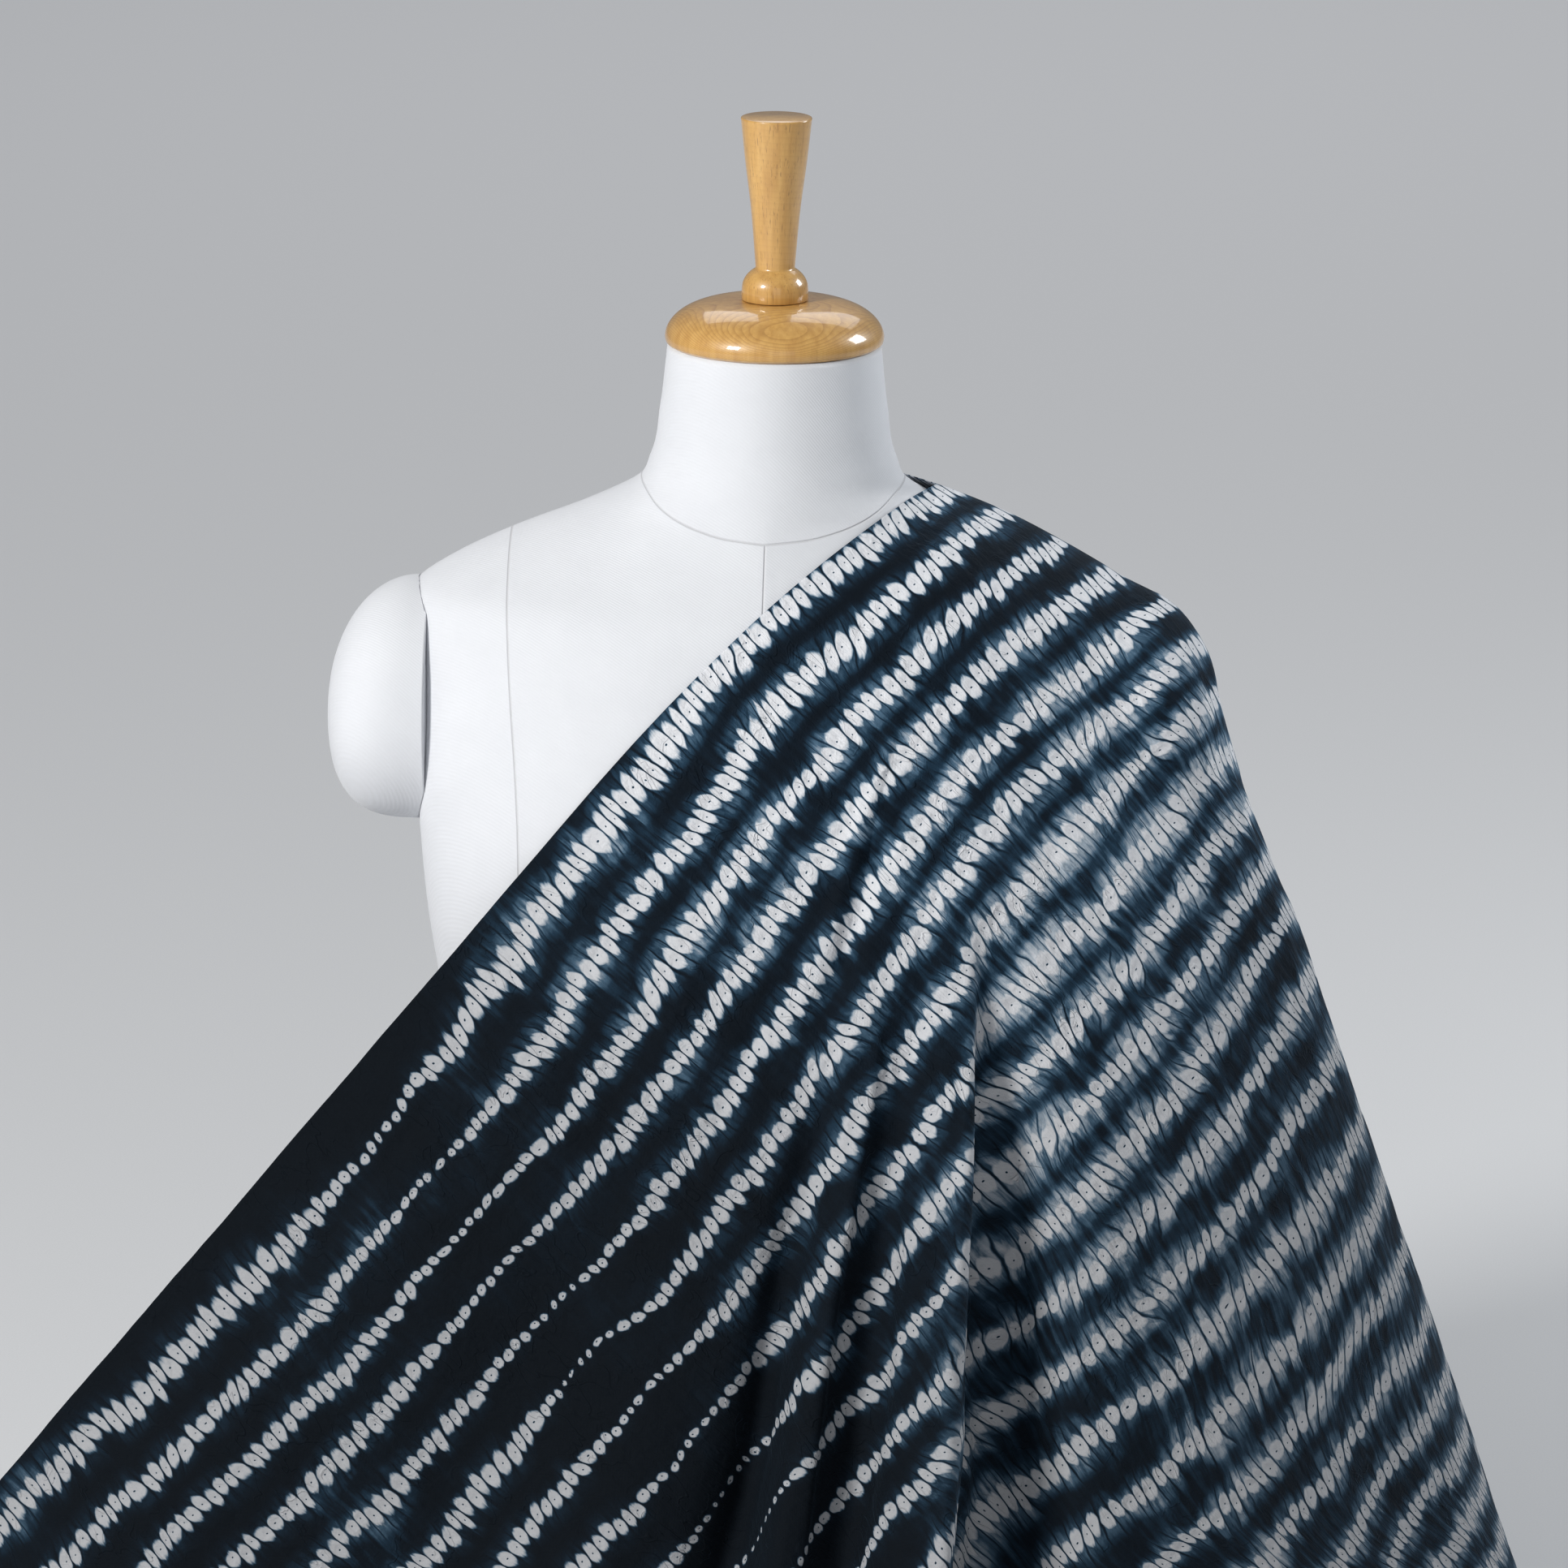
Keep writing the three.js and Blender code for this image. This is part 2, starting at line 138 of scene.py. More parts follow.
# %% Build shader graphs in short steps
class Graph:
    def __init__(self, tree):
        self.tree = tree

    def add(self, kind, *inputs, **settings):
        node = self.tree.nodes.new(kind)
        for key, value in settings.items():
            setattr(node, key, value)
        for socket, value in zip(node.inputs, inputs):
            self.feed(socket, value)
        return node

    def feed(self, socket, value):
        if value is None:
            return
        if isinstance(value, bpy.types.NodeSocket):
            self.tree.links.new(value, socket)
        else:
            socket.default_value = value

    def math(self, operation, *inputs, clamp=False):
        return self.add("ShaderNodeMath", *inputs, operation=operation, use_clamp=clamp).outputs[0]

    def vector(self, x=0.0, y=0.0, z=0.0):
        return self.add("ShaderNodeCombineXYZ", x, y, z).outputs[0]

    def split(self, vector):
        return self.add("ShaderNodeSeparateXYZ", vector).outputs

    def ramp(self, value, low, high, start=0.0, end=1.0, curve="SMOOTHSTEP"):
        node = self.add("ShaderNodeMapRange", interpolation_type=curve)
        for socket, given in zip(node.inputs, (value, low, high, start, end)):
            self.feed(socket, given)
        return node.outputs[0]

    def noise(self, vector, scale=1.0, detail=2.0, rough=0.5, distortion=0.0):
        node = self.add("ShaderNodeTexNoise")
        for name, given in (("Vector", vector), ("Scale", scale), ("Detail", detail),
                            ("Roughness", rough), ("Distortion", distortion)):
            self.feed(node.inputs[name], given)
        return node.outputs["Fac"]

    def mix(self, factor, a, b):
        node = self.add("ShaderNodeMix", data_type="RGBA")
        self.feed(node.inputs["Factor"], factor)
        self.feed(node.inputs["A"], a)
        self.feed(node.inputs["B"], b)
        return node.outputs["Result"]

    def blend(self, factor, a, b):
        node = self.add("ShaderNodeMix", data_type="FLOAT")
        for socket, given in zip(node.inputs, (factor, None, a, b)):
            self.feed(socket, given)
        return node.outputs[0]

    def colours(self, value, *stops):
        node = self.add("ShaderNodeValToRGB", value)
        ramp = node.color_ramp
        while len(ramp.elements) < len(stops):
            ramp.elements.new(0.5)
        for element, (place, colour) in zip(ramp.elements, stops):
            element.position = place
            element.color = (*colour, 1)
        return node.outputs["Color"]


def shader_group(name, inputs, outputs):
    """A node group with named sockets, and its graph, input and output nodes."""
    tree = bpy.data.node_groups.new(name, "ShaderNodeTree")
    for socket_name, kind, value in inputs:
        socket = tree.interface.new_socket(socket_name, in_out="INPUT", socket_type=kind)
        if value is not None:
            socket.default_value = value
    for socket_name, kind in outputs:
        tree.interface.new_socket(socket_name, in_out="OUTPUT", socket_type=kind)
    graph = Graph(tree)
    return graph, graph.add("NodeGroupInput").outputs, graph.add("NodeGroupOutput").inputs


def new_material(name):
    material = bpy.data.materials.new(name)
    material.use_nodes = True
    graph = Graph(material.node_tree)
    shader = material.node_tree.nodes["Principled BSDF"]
    return material, graph, shader


def use_group(graph, tree_name, *inputs):
    node = graph.add("ShaderNodeGroup")
    node.node_tree = bpy.data.node_groups[tree_name]
    for socket, value in zip(node.inputs, inputs):
        graph.feed(socket, value)
    return node.outputs


# %% [markdown]
# ## Weave
# Both the canvas on the form and the cotton are woven, at different thread counts, so the weave
# is one node group. Two sets of soft waves at right angles are the warp and the weft. Where one
# thread passes over the other the height is greatest, and a little noise makes threads uneven.

# %% The weave, as a group that both cloths share
graph, given, result = shader_group(
    "Weave",
    [("Vector", "NodeSocketVector", None), ("Thread", "NodeSocketFloat", 0.0005),
     ("Twill", "NodeSocketFloat", 0.0), ("Uneven", "NodeSocketFloat", 0.3)],
    [("Height", "NodeSocketFloat"), ("Slub", "NodeSocketFloat")],
)
x, y, _ = graph.split(given["Vector"])
waves = math.pi
across = graph.math("DIVIDE", x, given["Thread"])
along = graph.math("DIVIDE", y, given["Thread"])
wobble = graph.math("MULTIPLY", graph.noise(given["Vector"], 160.0, 1.0), given["Uneven"])
across = graph.math("ADD", across, wobble)
along = graph.math("ADD", along, wobble)
warp = graph.math("SINE", graph.math("MULTIPLY", across, waves))
weft = graph.math("SINE", graph.math("MULTIPLY", along, waves))
plain = graph.math("MULTIPLY", warp, weft)
diagonal = graph.math("SINE", graph.math("MULTIPLY", graph.math("ADD", across, along), waves))
height = graph.blend(given["Twill"], plain, diagonal)
slub = graph.noise(graph.vector(graph.math("MULTIPLY", x, 900.0), graph.math("MULTIPLY", y, 60.0)), 1.0)
graph.feed(result["Height"], graph.math("MULTIPLY_ADD", height, 0.5, 0.5))
graph.feed(result["Slub"], slub)
print("weave group made")

# %% [markdown]
# ## Canvas for the form
# The form is covered with tightly woven off-white canvas. Its panels are sewn together down the
# front, over the bust and round the neck, and each seam is a narrow furrow with the canvas pulled
# in beside it. The seams follow the form, so they are drawn by their place on it: a curve gives
# how far out a seam runs at each height, and the shader measures how near each point is to it.

# %% Canvas with its sewn seams
SEAM_HALF = 0.8 * MM
PRINCESS = table(
    "z out",
    (60, 112), (250, 96), (330, 103), (420, 124), (500, 128), (560, 132), (610, 138), (640, 141), (660, 141),
)
NECK_SEAM = table("x z", (0, 648), (30, 651), (50, 657), (64, 665), (72, 672), (90, 676))


def curve_value(graph, value, xs, ys, low, high):
    """A smooth curve of a short table as a Float Curve node, in metres."""
    node = graph.add("ShaderNodeFloatCurve")
    curve = node.mapping.curves[0]
    places = np.linspace(0, 1, 9)
    heights = smooth(xs, ys, xs[0] + places * (xs[-1] - xs[0]))
    while len(curve.points) < len(places):
        curve.points.new(0.5, 0.5)
    for point, place, height in zip(curve.points, places, heights):
        point.location = (place, (height - low) / (high - low))
    node.mapping.update()
    scaled = graph.ramp(value, xs[0] * MM, xs[-1] * MM, curve="LINEAR")
    graph.feed(node.inputs["Value"], scaled)
    return graph.ramp(node.outputs[0], 0.0, 1.0, low * MM, high * MM, curve="LINEAR")


def seam_line(graph, distance, half):
    """How close a point is to a seam: 1 on it and 0 from half its width."""
    return graph.ramp(graph.math("ABSOLUTE", distance), 0.0, half, 1.0, 0.0)


canvas, graph, shader = new_material("off-white canvas")
place = graph.add("ShaderNodeTexCoord").outputs["Object"]
x, y, z = graph.split(place)
side = graph.math("ABSOLUTE", x)
princess_out = curve_value(graph, z, PRINCESS["z"], PRINCESS["out"], 80, 150)
neck_height = curve_value(graph, side, NECK_SEAM["x"], NECK_SEAM["z"], 640, 680)
above_neck = graph.ramp(graph.math("SUBTRACT", z, neck_height), -0.001, 0.001)
below_neck = graph.math("SUBTRACT", 1.0, above_neck)
off_princess = graph.math("SUBTRACT", side, princess_out)
off_neck = graph.math("SUBTRACT", z, neck_height)
off_front = x
narrow = []
wide = []
for off, part in ((off_princess, below_neck), (off_front, below_neck), (off_neck, 1.0)):
    narrow.append(graph.math("MULTIPLY", seam_line(graph, off, SEAM_HALF), part))
    wide.append(graph.math("MULTIPLY", seam_line(graph, off, 9 * SEAM_HALF), part))
furrow = graph.math("MAXIMUM", graph.math("MAXIMUM", narrow[0], narrow[1]), narrow[2])
pulled = graph.math("MAXIMUM", graph.math("MAXIMUM", wide[0], wide[1]), wide[2])
weave = use_group(graph, "Weave", graph.vector(graph.math("ADD", x, y), z), 0.0011, 0.75, 0.25)
pucker = graph.noise(graph.vector(graph.math("MULTIPLY", x, 60.0), y, graph.math("MULTIPLY", z, 190.0)), 1.0)
soft = graph.noise(place, 7.0, 3.0)
height = graph.math("MULTIPLY", weave["Height"], 0.10)
height = graph.math("MULTIPLY_ADD", graph.math("MULTIPLY", pucker, pulled), 0.55, height)
height = graph.math("MULTIPLY_ADD", furrow, -0.9, height)
height = graph.math("MULTIPLY_ADD", soft, 1.2, height)
bump = graph.add("ShaderNodeBump")
graph.feed(bump.inputs["Height"], height)
bump.inputs["Distance"].default_value = 1.1 * MM
bump.inputs["Strength"].default_value = 0.55
worn = graph.math("MULTIPLY_ADD", graph.noise(place, 26.0, 4.0, 0.6), 0.5, 0.25)
cream = graph.colours(worn, (0.3, (0.68, 0.695, 0.73)), (0.7, (0.74, 0.755, 0.79)))
cream = graph.mix(graph.math("MULTIPLY", weave["Height"], 0.10), cream, (0.60, 0.59, 0.58, 1))
# Painted shade: the seams' furrows are painted darker, as shade in the groove.
cream = graph.mix(graph.math("MULTIPLY", furrow, 0.32), cream, (0.40, 0.39, 0.39, 1))
graph.feed(shader.inputs["Base Color"], cream)
graph.feed(shader.inputs["Normal"], bump.outputs[0])
shader.inputs["Roughness"].default_value = 0.85
shader.inputs["Sheen Weight"].default_value = 0.15
shader.inputs["Specular IOR Level"].default_value = 0.25
print("canvas with", len(narrow), "kinds of seam")

# %% [markdown]
# ## The padded torso
# A dress form is a stack of rounded sections, so it could be carved from a cylinder or lofted
# through rings. A ring that is extruded upwards and reshaped at each level gives the most even
# skin, and the levels can be close together for almost nothing. The ends are filled, so that the
# torso is a closed body.

# %% Loft the torso through its sections
SIDES = 176
LEVELS = 150


def ring_shape(z, turns, grow=0.0):
    """Points round the form at one height, each at its turn from +X towards +Y."""
    half, front, back, square = form_section(z)
    c, s = np.cos(turns), np.sin(turns)
    depth = np.where(s > 0, back, front)
    round_ = 2 / square
    return (
        np.sign(c) * np.abs(c) ** round_ * (half + grow),
        np.sign(s) * np.abs(s) ** round_ * (depth + grow),
    )


def loft_torso(grow=0.0):
    bm = bmesh.new()
    turn = bm.verts.layers.float.new("turn")
    ring = bmesh.ops.create_circle(bm, segments=SIDES, radius=1.0)["verts"]
    for v in ring:
        v[turn] = math.atan2(v.co.y, v.co.x)
    edges = list(bm.edges)
    foot = list(edges)
    heights = np.interp(np.linspace(0, 1, LEVELS), [0, 0.45, 1], [0, 500, NECK_TOP])
    for k, z in enumerate(heights):
        if k:
            grown = bmesh.ops.extrude_edge_only(bm, edges=edges)["geom"]
            ring = [g for g in grown if isinstance(g, bmesh.types.BMVert)]
            fresh = set(ring)
            edges = [g for g in grown if isinstance(g, bmesh.types.BMEdge) and fresh.issuperset(g.verts)]
        xs, ys = ring_shape(z, np.array([v[turn] for v in ring]), grow)
        for v, px, py in zip(ring, xs, ys):
            v.co = (px * MM, py * MM, z * MM)
    bmesh.ops.holes_fill(bm, edges=foot, sides=0)
    bmesh.ops.holes_fill(bm, edges=edges, sides=0)
    bmesh.ops.recalc_face_normals(bm, faces=bm.faces)
    return bm


torso = make_piece("padded_torso", loft_torso(), canvas, "form_torso")

# %% [markdown]
# ## The arm caps
# Where an arm would start, the form has a padded, canvas-covered stump. It is a ball whose outline
# is a little square below and round above, and it is cut to the torso's side so that the two
# pieces meet in a plain seam.

# %% Arm caps, cut to the torso
ARM = {"x": 190, "y": -2, "z": 541, "out": 48, "half": 58, "up": 70, "down": 62, "square": 2.45, "drop": 0.45}
ARMHOLE = 172


def arm_square(upward):
    """How square the stump's outline is: less above its middle than below."""
    return ARM["square"] - ARM["drop"] * upward


def arm_cap(name, side):
    bm = bmesh.new()
    bmesh.ops.create_uvsphere(bm, u_segments=96, v_segments=64, radius=1.0)
    for v in bm.verts:
        outward, level, rise = v.co.z, v.co.y, v.co.x
        around = math.hypot(level, rise)
        power = 2 / arm_square(rise / around if around > 0 else 0.0)
        wide = around ** power / around if around > 0 else 1.0
        reach = max(outward, 0.0) ** power * ARM["out"]
        if outward < 0:
            reach = outward * (ARM["x"] - ARMHOLE)
            wide = 1 / around if around > 0.9 else 1.0
        tall = ARM["up"] if rise > 0 else ARM["down"]
        v.co = (
            side * (ARM["x"] + reach) * MM,
            (ARM["y"] + level * wide * ARM["half"]) * MM,
            (ARM["z"] + rise * wide * tall) * MM,
        )
    bmesh.ops.recalc_face_normals(bm, faces=bm.faces)
    return make_piece(name, bm, canvas, "form_" + name)


cutter_mesh = bpy.data.meshes.new("cutter")
cutter_bm = loft_torso(grow=0.3)
cutter_bm.to_mesh(cutter_mesh)
cutter_bm.free()
cutter = bpy.data.objects.new("cutter", cutter_mesh)
bpy.context.collection.objects.link(cutter)
for name, side in (("arm_cap_left", -1), ("arm_cap_right", 1)):
    cap = arm_cap(name, side)
    cut = cap.modifiers.new("cut", "BOOLEAN")
    cut.operation = "DIFFERENCE"
    cut.object = cutter
    cut.solver = "EXACT"
    bpy.context.view_layer.objects.active = cap
    bpy.ops.object.modifier_apply(modifier="cut")
    print(name, "after the cut", len(cap.data.polygons), "faces")
bpy.data.objects.remove(cutter)
bpy.data.meshes.remove(cutter_mesh)

# %% [markdown]
# ## Varnished wood
# The neck is closed by a turned dome with a turned handle on it. Wood is drawn by its growth
# rings: the dome is cut across layers that rise and fall, so they show as nested ovals, and the
# handle is cut along the grain, so it shows long fine lines and short dark pores. A clear coat
# over both gives the sharp highlights of varnish.

# %% Wood with grain and varnish
graph, given, result = shader_group(
    "WoodGrain",
    [("Vector", "NodeSocketVector", None), ("Rings", "NodeSocketFloat", 900.0)],
    [("Ring", "NodeSocketFloat"), ("Pore", "NodeSocketFloat"), ("Line", "NodeSocketFloat")],
)
x, y, z = graph.split(given["Vector"])
drift = graph.math("MULTIPLY_ADD", graph.noise(given["Vector"], 28.0, 2.0), 0.012, -0.006)
bend_x = graph.math("ADD", x, 0.014)
bend_y = graph.math("ADD", y, 0.012)
layer = graph.math("MULTIPLY_ADD", graph.math("MULTIPLY", bend_x, bend_x), 2.6, z)
layer = graph.math("MULTIPLY_ADD", graph.math("MULTIPLY", bend_y, bend_y), 9.0, layer)
layer = graph.math("ADD", layer, graph.math("MULTIPLY", drift, 0.22))
ring = graph.math("FRACT", graph.math("MULTIPLY", layer, given["Rings"]))
ring = graph.math("MULTIPLY", graph.math("POWER", ring, 3.0), graph.ramp(ring, 0.93, 1.0, 1.0, 0.0))
fibre = graph.vector(
    graph.math("MULTIPLY", x, 1500.0), graph.math("MULTIPLY", y, 1500.0), graph.math("MULTIPLY", z, 45.0)
)
pore = graph.ramp(graph.noise(fibre, 1.0, 2.0, 0.6), 0.58, 0.72)
long_fibre = graph.vector(
    graph.math("MULTIPLY", x, 260.0), graph.math("MULTIPLY", y, 260.0), graph.math("MULTIPLY", z, 9.0)
)
line = graph.noise(long_fibre, 1.0, 3.0, 0.6)
graph.feed(result["Ring"], ring)
graph.feed(result["Pore"], pore)
graph.feed(result["Line"], line)


def varnished_wood(name, ring_share, pore_share, rings):
    material, graph, shader = new_material(name)
    place = graph.add("ShaderNodeTexCoord").outputs["Object"]
    grain = use_group(graph, "WoodGrain", place, rings)
    tone = graph.math("MULTIPLY_ADD", grain["Line"], 0.6, 0.2)
    wood = graph.colours(
        tone,
        (0.25, (0.46, 0.23, 0.056)),
        (0.55, (0.64, 0.37, 0.11)),
        (0.8, (0.75, 0.47, 0.16)),
    )
    wood = graph.mix(graph.math("MULTIPLY", grain["Ring"], ring_share), wood, (0.30, 0.125, 0.03, 1))
    wood = graph.mix(graph.math("MULTIPLY", grain["Pore"], pore_share), wood, (0.16, 0.06, 0.02, 1))
    graph.feed(shader.inputs["Base Color"], wood)
    bump = graph.add("ShaderNodeBump")
    graph.feed(bump.inputs["Height"], graph.math("MULTIPLY_ADD", grain["Pore"], -1.0, 1.0))
    bump.inputs["Distance"].default_value = 0.1 * MM
    bump.inputs["Strength"].default_value = 0.3
    graph.feed(shader.inputs["Normal"], bump.outputs[0])
    shader.inputs["Roughness"].default_value = 0.38
    shader.inputs["Coat Weight"].default_value = 0.9
    shader.inputs["Coat Roughness"].default_value = 0.07
    return material


dome_wood = varnished_wood("varnished wood, cut across", 0.55, 0.12, 1150.0)
handle_wood = varnished_wood("varnished wood, cut along", 0.10, 0.6, 300.0)

# %% [markdown]
# ## Turned pieces
# A turned piece is drawn as half of its outline and spun about the axis, as it was on the lathe.
# Small edges are rounded with a bevel, because a sharp edge never catches the light.

# %% Spin the neck cap and its handle
GAP = 0.3
CAP_RADIUS = 58.3
CAP_RIM = 4
DOME_RISE = 19.5
COLLAR_RADIUS = 17.7
HANDLE_TOP = 863


def spin_piece(name, outline, material, stands_for):
    """Turns an outline of (radius, height) rows, in millimetres, about the vertical axis."""
    bm = bmesh.new()
    points = [bm.verts.new((r * MM, 0, z * MM)) for r, z in outline]
    edges = [bm.edges.new(pair) for pair in zip(points, points[1:])]
    bmesh.ops.spin(
        bm, geom=points + edges, cent=(0, 0, 0), axis=(0, 0, 1), angle=math.tau, steps=128, use_merge=True,
    )
    bmesh.ops.remove_doubles(bm, verts=bm.verts, dist=0.00001)
    bmesh.ops.recalc_face_normals(bm, faces=bm.faces)
    return make_piece(name, bm, material, stands_for)


def curve_rows(rows, steps):
    """More rows along a smooth curve through an outline."""
    rows = np.array(rows, float)
    far = np.concatenate([[0], np.cumsum(np.hypot(*np.diff(rows, axis=0).T))])
    fine = np.linspace(0, far[-1], steps)
    return list(zip(smooth(far, rows[:, 0], fine), smooth(far, rows[:, 1], fine)))


base = NECK_TOP + GAP
dome = [
    (COLLAR_RADIUS + 1 + (CAP_RADIUS - COLLAR_RADIUS - 1) * math.cos(turn) ** 0.8,
     base + CAP_RIM + DOME_RISE * math.sin(turn) ** 1.05)
    for turn in np.linspace(0, math.pi / 2, 26)
]
rim = curve_rows([(CAP_RADIUS - 2.5, base), (CAP_RADIUS - 0.6, base + 1.4), (CAP_RADIUS, base + CAP_RIM)], 7)
cap_outline = [(0, base), *rim, *dome[1:], (0, base + CAP_RIM + DOME_RISE)]
spin_piece("turned_neck_cap", cap_outline, dome_wood, "neck_cap")

foot = base + CAP_RIM + DOME_RISE + GAP
collar = curve_rows(
    [
        (COLLAR_RADIUS, foot + 5.5), (17.2, foot + 9), (15.4, foot + 12.6),
        (12.9, foot + 15.2), (10.6, foot + 16.8),
    ],
    18,
)
handle = curve_rows([(10.5, foot + 18), (13.2, foot + 49), (16.5, foot + 75), (18.8, HANDLE_TOP - 1.2)], 20)
edge = [(18.85, HANDLE_TOP - 0.7), (18.6, HANDLE_TOP - 0.2), (18.1, HANDLE_TOP)]
handle_outline = [
    (0, foot), (COLLAR_RADIUS - 0.4, foot), (COLLAR_RADIUS, foot + 0.4),
    *collar, *handle, *edge, (0, HANDLE_TOP),
]
spin_piece("turned_handle", handle_outline, handle_wood, "neck_finial")

# %% [markdown]
# ## How the cloth hangs
# The cloth is pulled tight at the shoulder and falls from there like the ribs of a fan. Each row
# of the table is one rib: where it turns over the shoulder, where it reaches the surface and how
# far it lies there. Deep folds are a second table, and each one grows from its start to the hem.
# A cloth simulation could drape it, but it would not put the folds where they are in the photo.

# %% The ribs and folds of the cloth
SHEET = 0.5                # thickness of the cotton with its crinkle
GRID_MIDDLE = 1.0          # height of the cloth's middle where it lies on the surface
AIR = 1.6                  # space between the form and the middle of the cloth
FLOOR_BEND = 30
SPREAD_OVER = 120
SPREAD_KEEP = 0.42
SHOULDER = np.array([87.0, 4.0, 666.0])
RIBS = table(
    "turn_x turn_y turn_z floor_x floor_y lip",
    (-6, -105, 622, -513, -114, 70),
    (14, -103, 632, -395, -155, 60),
    (32, -99, 645, -235, -192, 52),
    (57, -92, 659, -70, -216, 48),
    (88, -85, 656, 90, -222, 52),
    (125, -70, 649, 256, -195, 44),
    (181, -40, 639, 373, -105, 38),
    (214, 4, 635, 432, 15, 36),
    (182, 38, 639, 402, 125, 36),
    (120, 64, 649, 285, 218, 40),
    (84, 74, 656, 95, 256, 46),
    (47, 82, 659, -75, 236, 44),
    (20, 91, 661, -195, 190, 50),
    (0, 100, 661, -262, 142, 58),
)
LAST_RIB = len(RIBS["lip"]) - 1
FOLDS = table(
    "top foot start half height lean",
    (1.2, 1, 380, 0.75, 9, 0),
    (2.3, 2.1, 300, 0.5, -10, 0),
    (3, 2.72, 420, 0.3, 9, -4),
    (3.45, 3.22, 340, 0.24, -28, 0),
    (3.63, 3.49, 290, 0.22, 28, -8),
    (3.78, 3.67, 290, 0.16, -12, 0),
    (4.35, 3.87, 225, 0.34, 60, 24),
    (4.72, 4.28, 235, 0.36, -34, -10),
    (5.3, 5.2, 330, 0.5, 10, 5),
    (6.1, 6.2, 420, 0.45, -9, 0),
    (7.75, 7.8, 260, 0.5, 16, 8),
    (8.4, 8.55, 250, 0.5, -26, 0),
    (9.1, 9.3, 230, 0.5, 34, -16),
    (9.9, 10, 300, 0.42, -22, 0),
    (10.4, 10.7, 250, 0.42, 30, 12),
    (11.3, 11.4, 320, 0.45, -18, 0),
    (12, 12.2, 280, 0.5, 20, 8),
)


def rib_value(name, rib):
    """A size of the cloth between its ribs."""
    return smooth(np.arange(LAST_RIB + 1.0), RIBS[name], rib, end_slope=0.5)


def rib_points(turn_cells, fall_cells, bend_cells, lip_cells, ribs):
    """The cloth before folds: its points, how far each is below the shoulder, and the hem's reach."""
    grid, far, reach, out = [], [], [], []
    for rib in ribs:
        at = lambda name: float(rib_value(name, np.array([rib]))[0])
        turn = np.array([at("turn_x"), at("turn_y"), at("turn_z")])
        floor = np.array([at("floor_x"), at("floor_y"), GRID_MIDDLE])
        down = (floor - turn) / np.linalg.norm(floor - turn)
        leave = turn + down * np.linalg.norm(turn - SHOULDER)
        touch = floor - down * FLOOR_BEND
        ahead, behind = min(rib + 0.2, LAST_RIB), max(rib - 0.2, 0.0)
        step = [float(rib_value(n, np.array([ahead]))[0] - rib_value(n, np.array([behind]))[0])
                for n in ("floor_x", "floor_y")]
        away = np.array([step[1], -step[0], 0.0])
        away /= np.linalg.norm(away)
        settled = floor + away * FLOOR_BEND
        hem = floor + away * at("lip")
        t = np.linspace(0, 1, 200)[:, None]
        over = (1 - t) ** 2 * SHOULDER + 2 * t * (1 - t) * turn + t * t * leave
        bend = (1 - t) ** 2 * touch + 2 * t * (1 - t) * floor + t * t * settled
        column, length = [], 0.0
        for k, (path, cells) in enumerate(
            ((over, turn_cells), (np.array([leave, touch]), fall_cells),
             (bend, bend_cells), (np.array([settled, hem]), lip_cells))
        ):
            walked = np.concatenate([[0], np.cumsum(np.linalg.norm(np.diff(path, axis=0), axis=1))])
            share = np.linspace(0, 1, cells + 1)[0 if k == 0 else 1:]
            share = share ** 1.4 if k == 1 else share
            spots = share * walked[-1]
            column += [(length + d, *[np.interp(d, walked, path[:, c]) for c in range(3)]) for d in spots]
            length += walked[-1]
            if k == 1:
                reach.append(length)
        column = np.array(column)
        grid.append(column[:, 1:])
        far.append(column[:, 0])
        out.append(away)
    return np.array(grid), np.array(far), np.array(reach), np.array(out)


def add_folds(grid, far, reach, out, ribs):
    """Moves the cloth's points by its folds."""
    along = np.stack([-out[:, 1], out[:, 0], out[:, 2]], axis=1)
    for k in range(len(FOLDS["top"])):
        fold = {name: values[k] for name, values in FOLDS.items()}
        grown = np.clip((far - fold["start"]) / (reach[:, None] - fold["start"]), 0, 1)
        middle = fold["top"] + (fold["foot"] - fold["top"]) * grown
        across = np.clip((ribs[:, None] - middle) / fold["half"], -1, 1)
        near_hem = np.clip((far - reach[:, None] + SPREAD_OVER) / SPREAD_OVER, 0, 1)
        opened = near_hem ** 2 * (3 - 2 * near_hem)
        swell = np.cos(across * np.pi / 2) ** 2 * grown ** 1.3 * (1 - opened * (1 - SPREAD_KEEP))
        grid = grid + (fold["height"] * swell)[..., None] * out[:, None, :]
        grid = grid + (fold["lean"] * swell)[..., None] * along[:, None, :]
    return grid


# %% [markdown]
# The cloth may not pass through the form. A depth below 1 means that a point is inside the space
# kept clear round the form, and such a point is moved out by the shortest way, along the slope of
# that depth.

# %% Keep the cloth on the outside of the form
def form_depth(p):
    """How deep points lie in the form's clear space: below 1 is inside it."""
    half, front, back, square = form_section(np.clip(p[..., 2] - AIR, 0, NECK_TOP))
    depth = np.where(p[..., 1] < 0, front, back)
    body = (np.abs(p[..., 0]) / (half + AIR)) ** square + (np.abs(p[..., 1]) / (depth + AIR)) ** square
    out = np.maximum(p[..., 0] - ARM["x"], 0) / (ARM["out"] + AIR)
    tall = np.where(p[..., 2] > ARM["z"], ARM["up"], ARM["down"])
    level = (p[..., 1] - ARM["y"]) / (ARM["half"] + AIR)
    rise = (p[..., 2] - ARM["z"]) / (tall + AIR)
    around = np.maximum(np.hypot(level, rise), 0.001)
    power = arm_square(rise / around)
    arm = np.where(p[..., 0] > FORM["half"][0] / 2, out ** power + around ** power, 1.0)
    return np.minimum(body, arm)


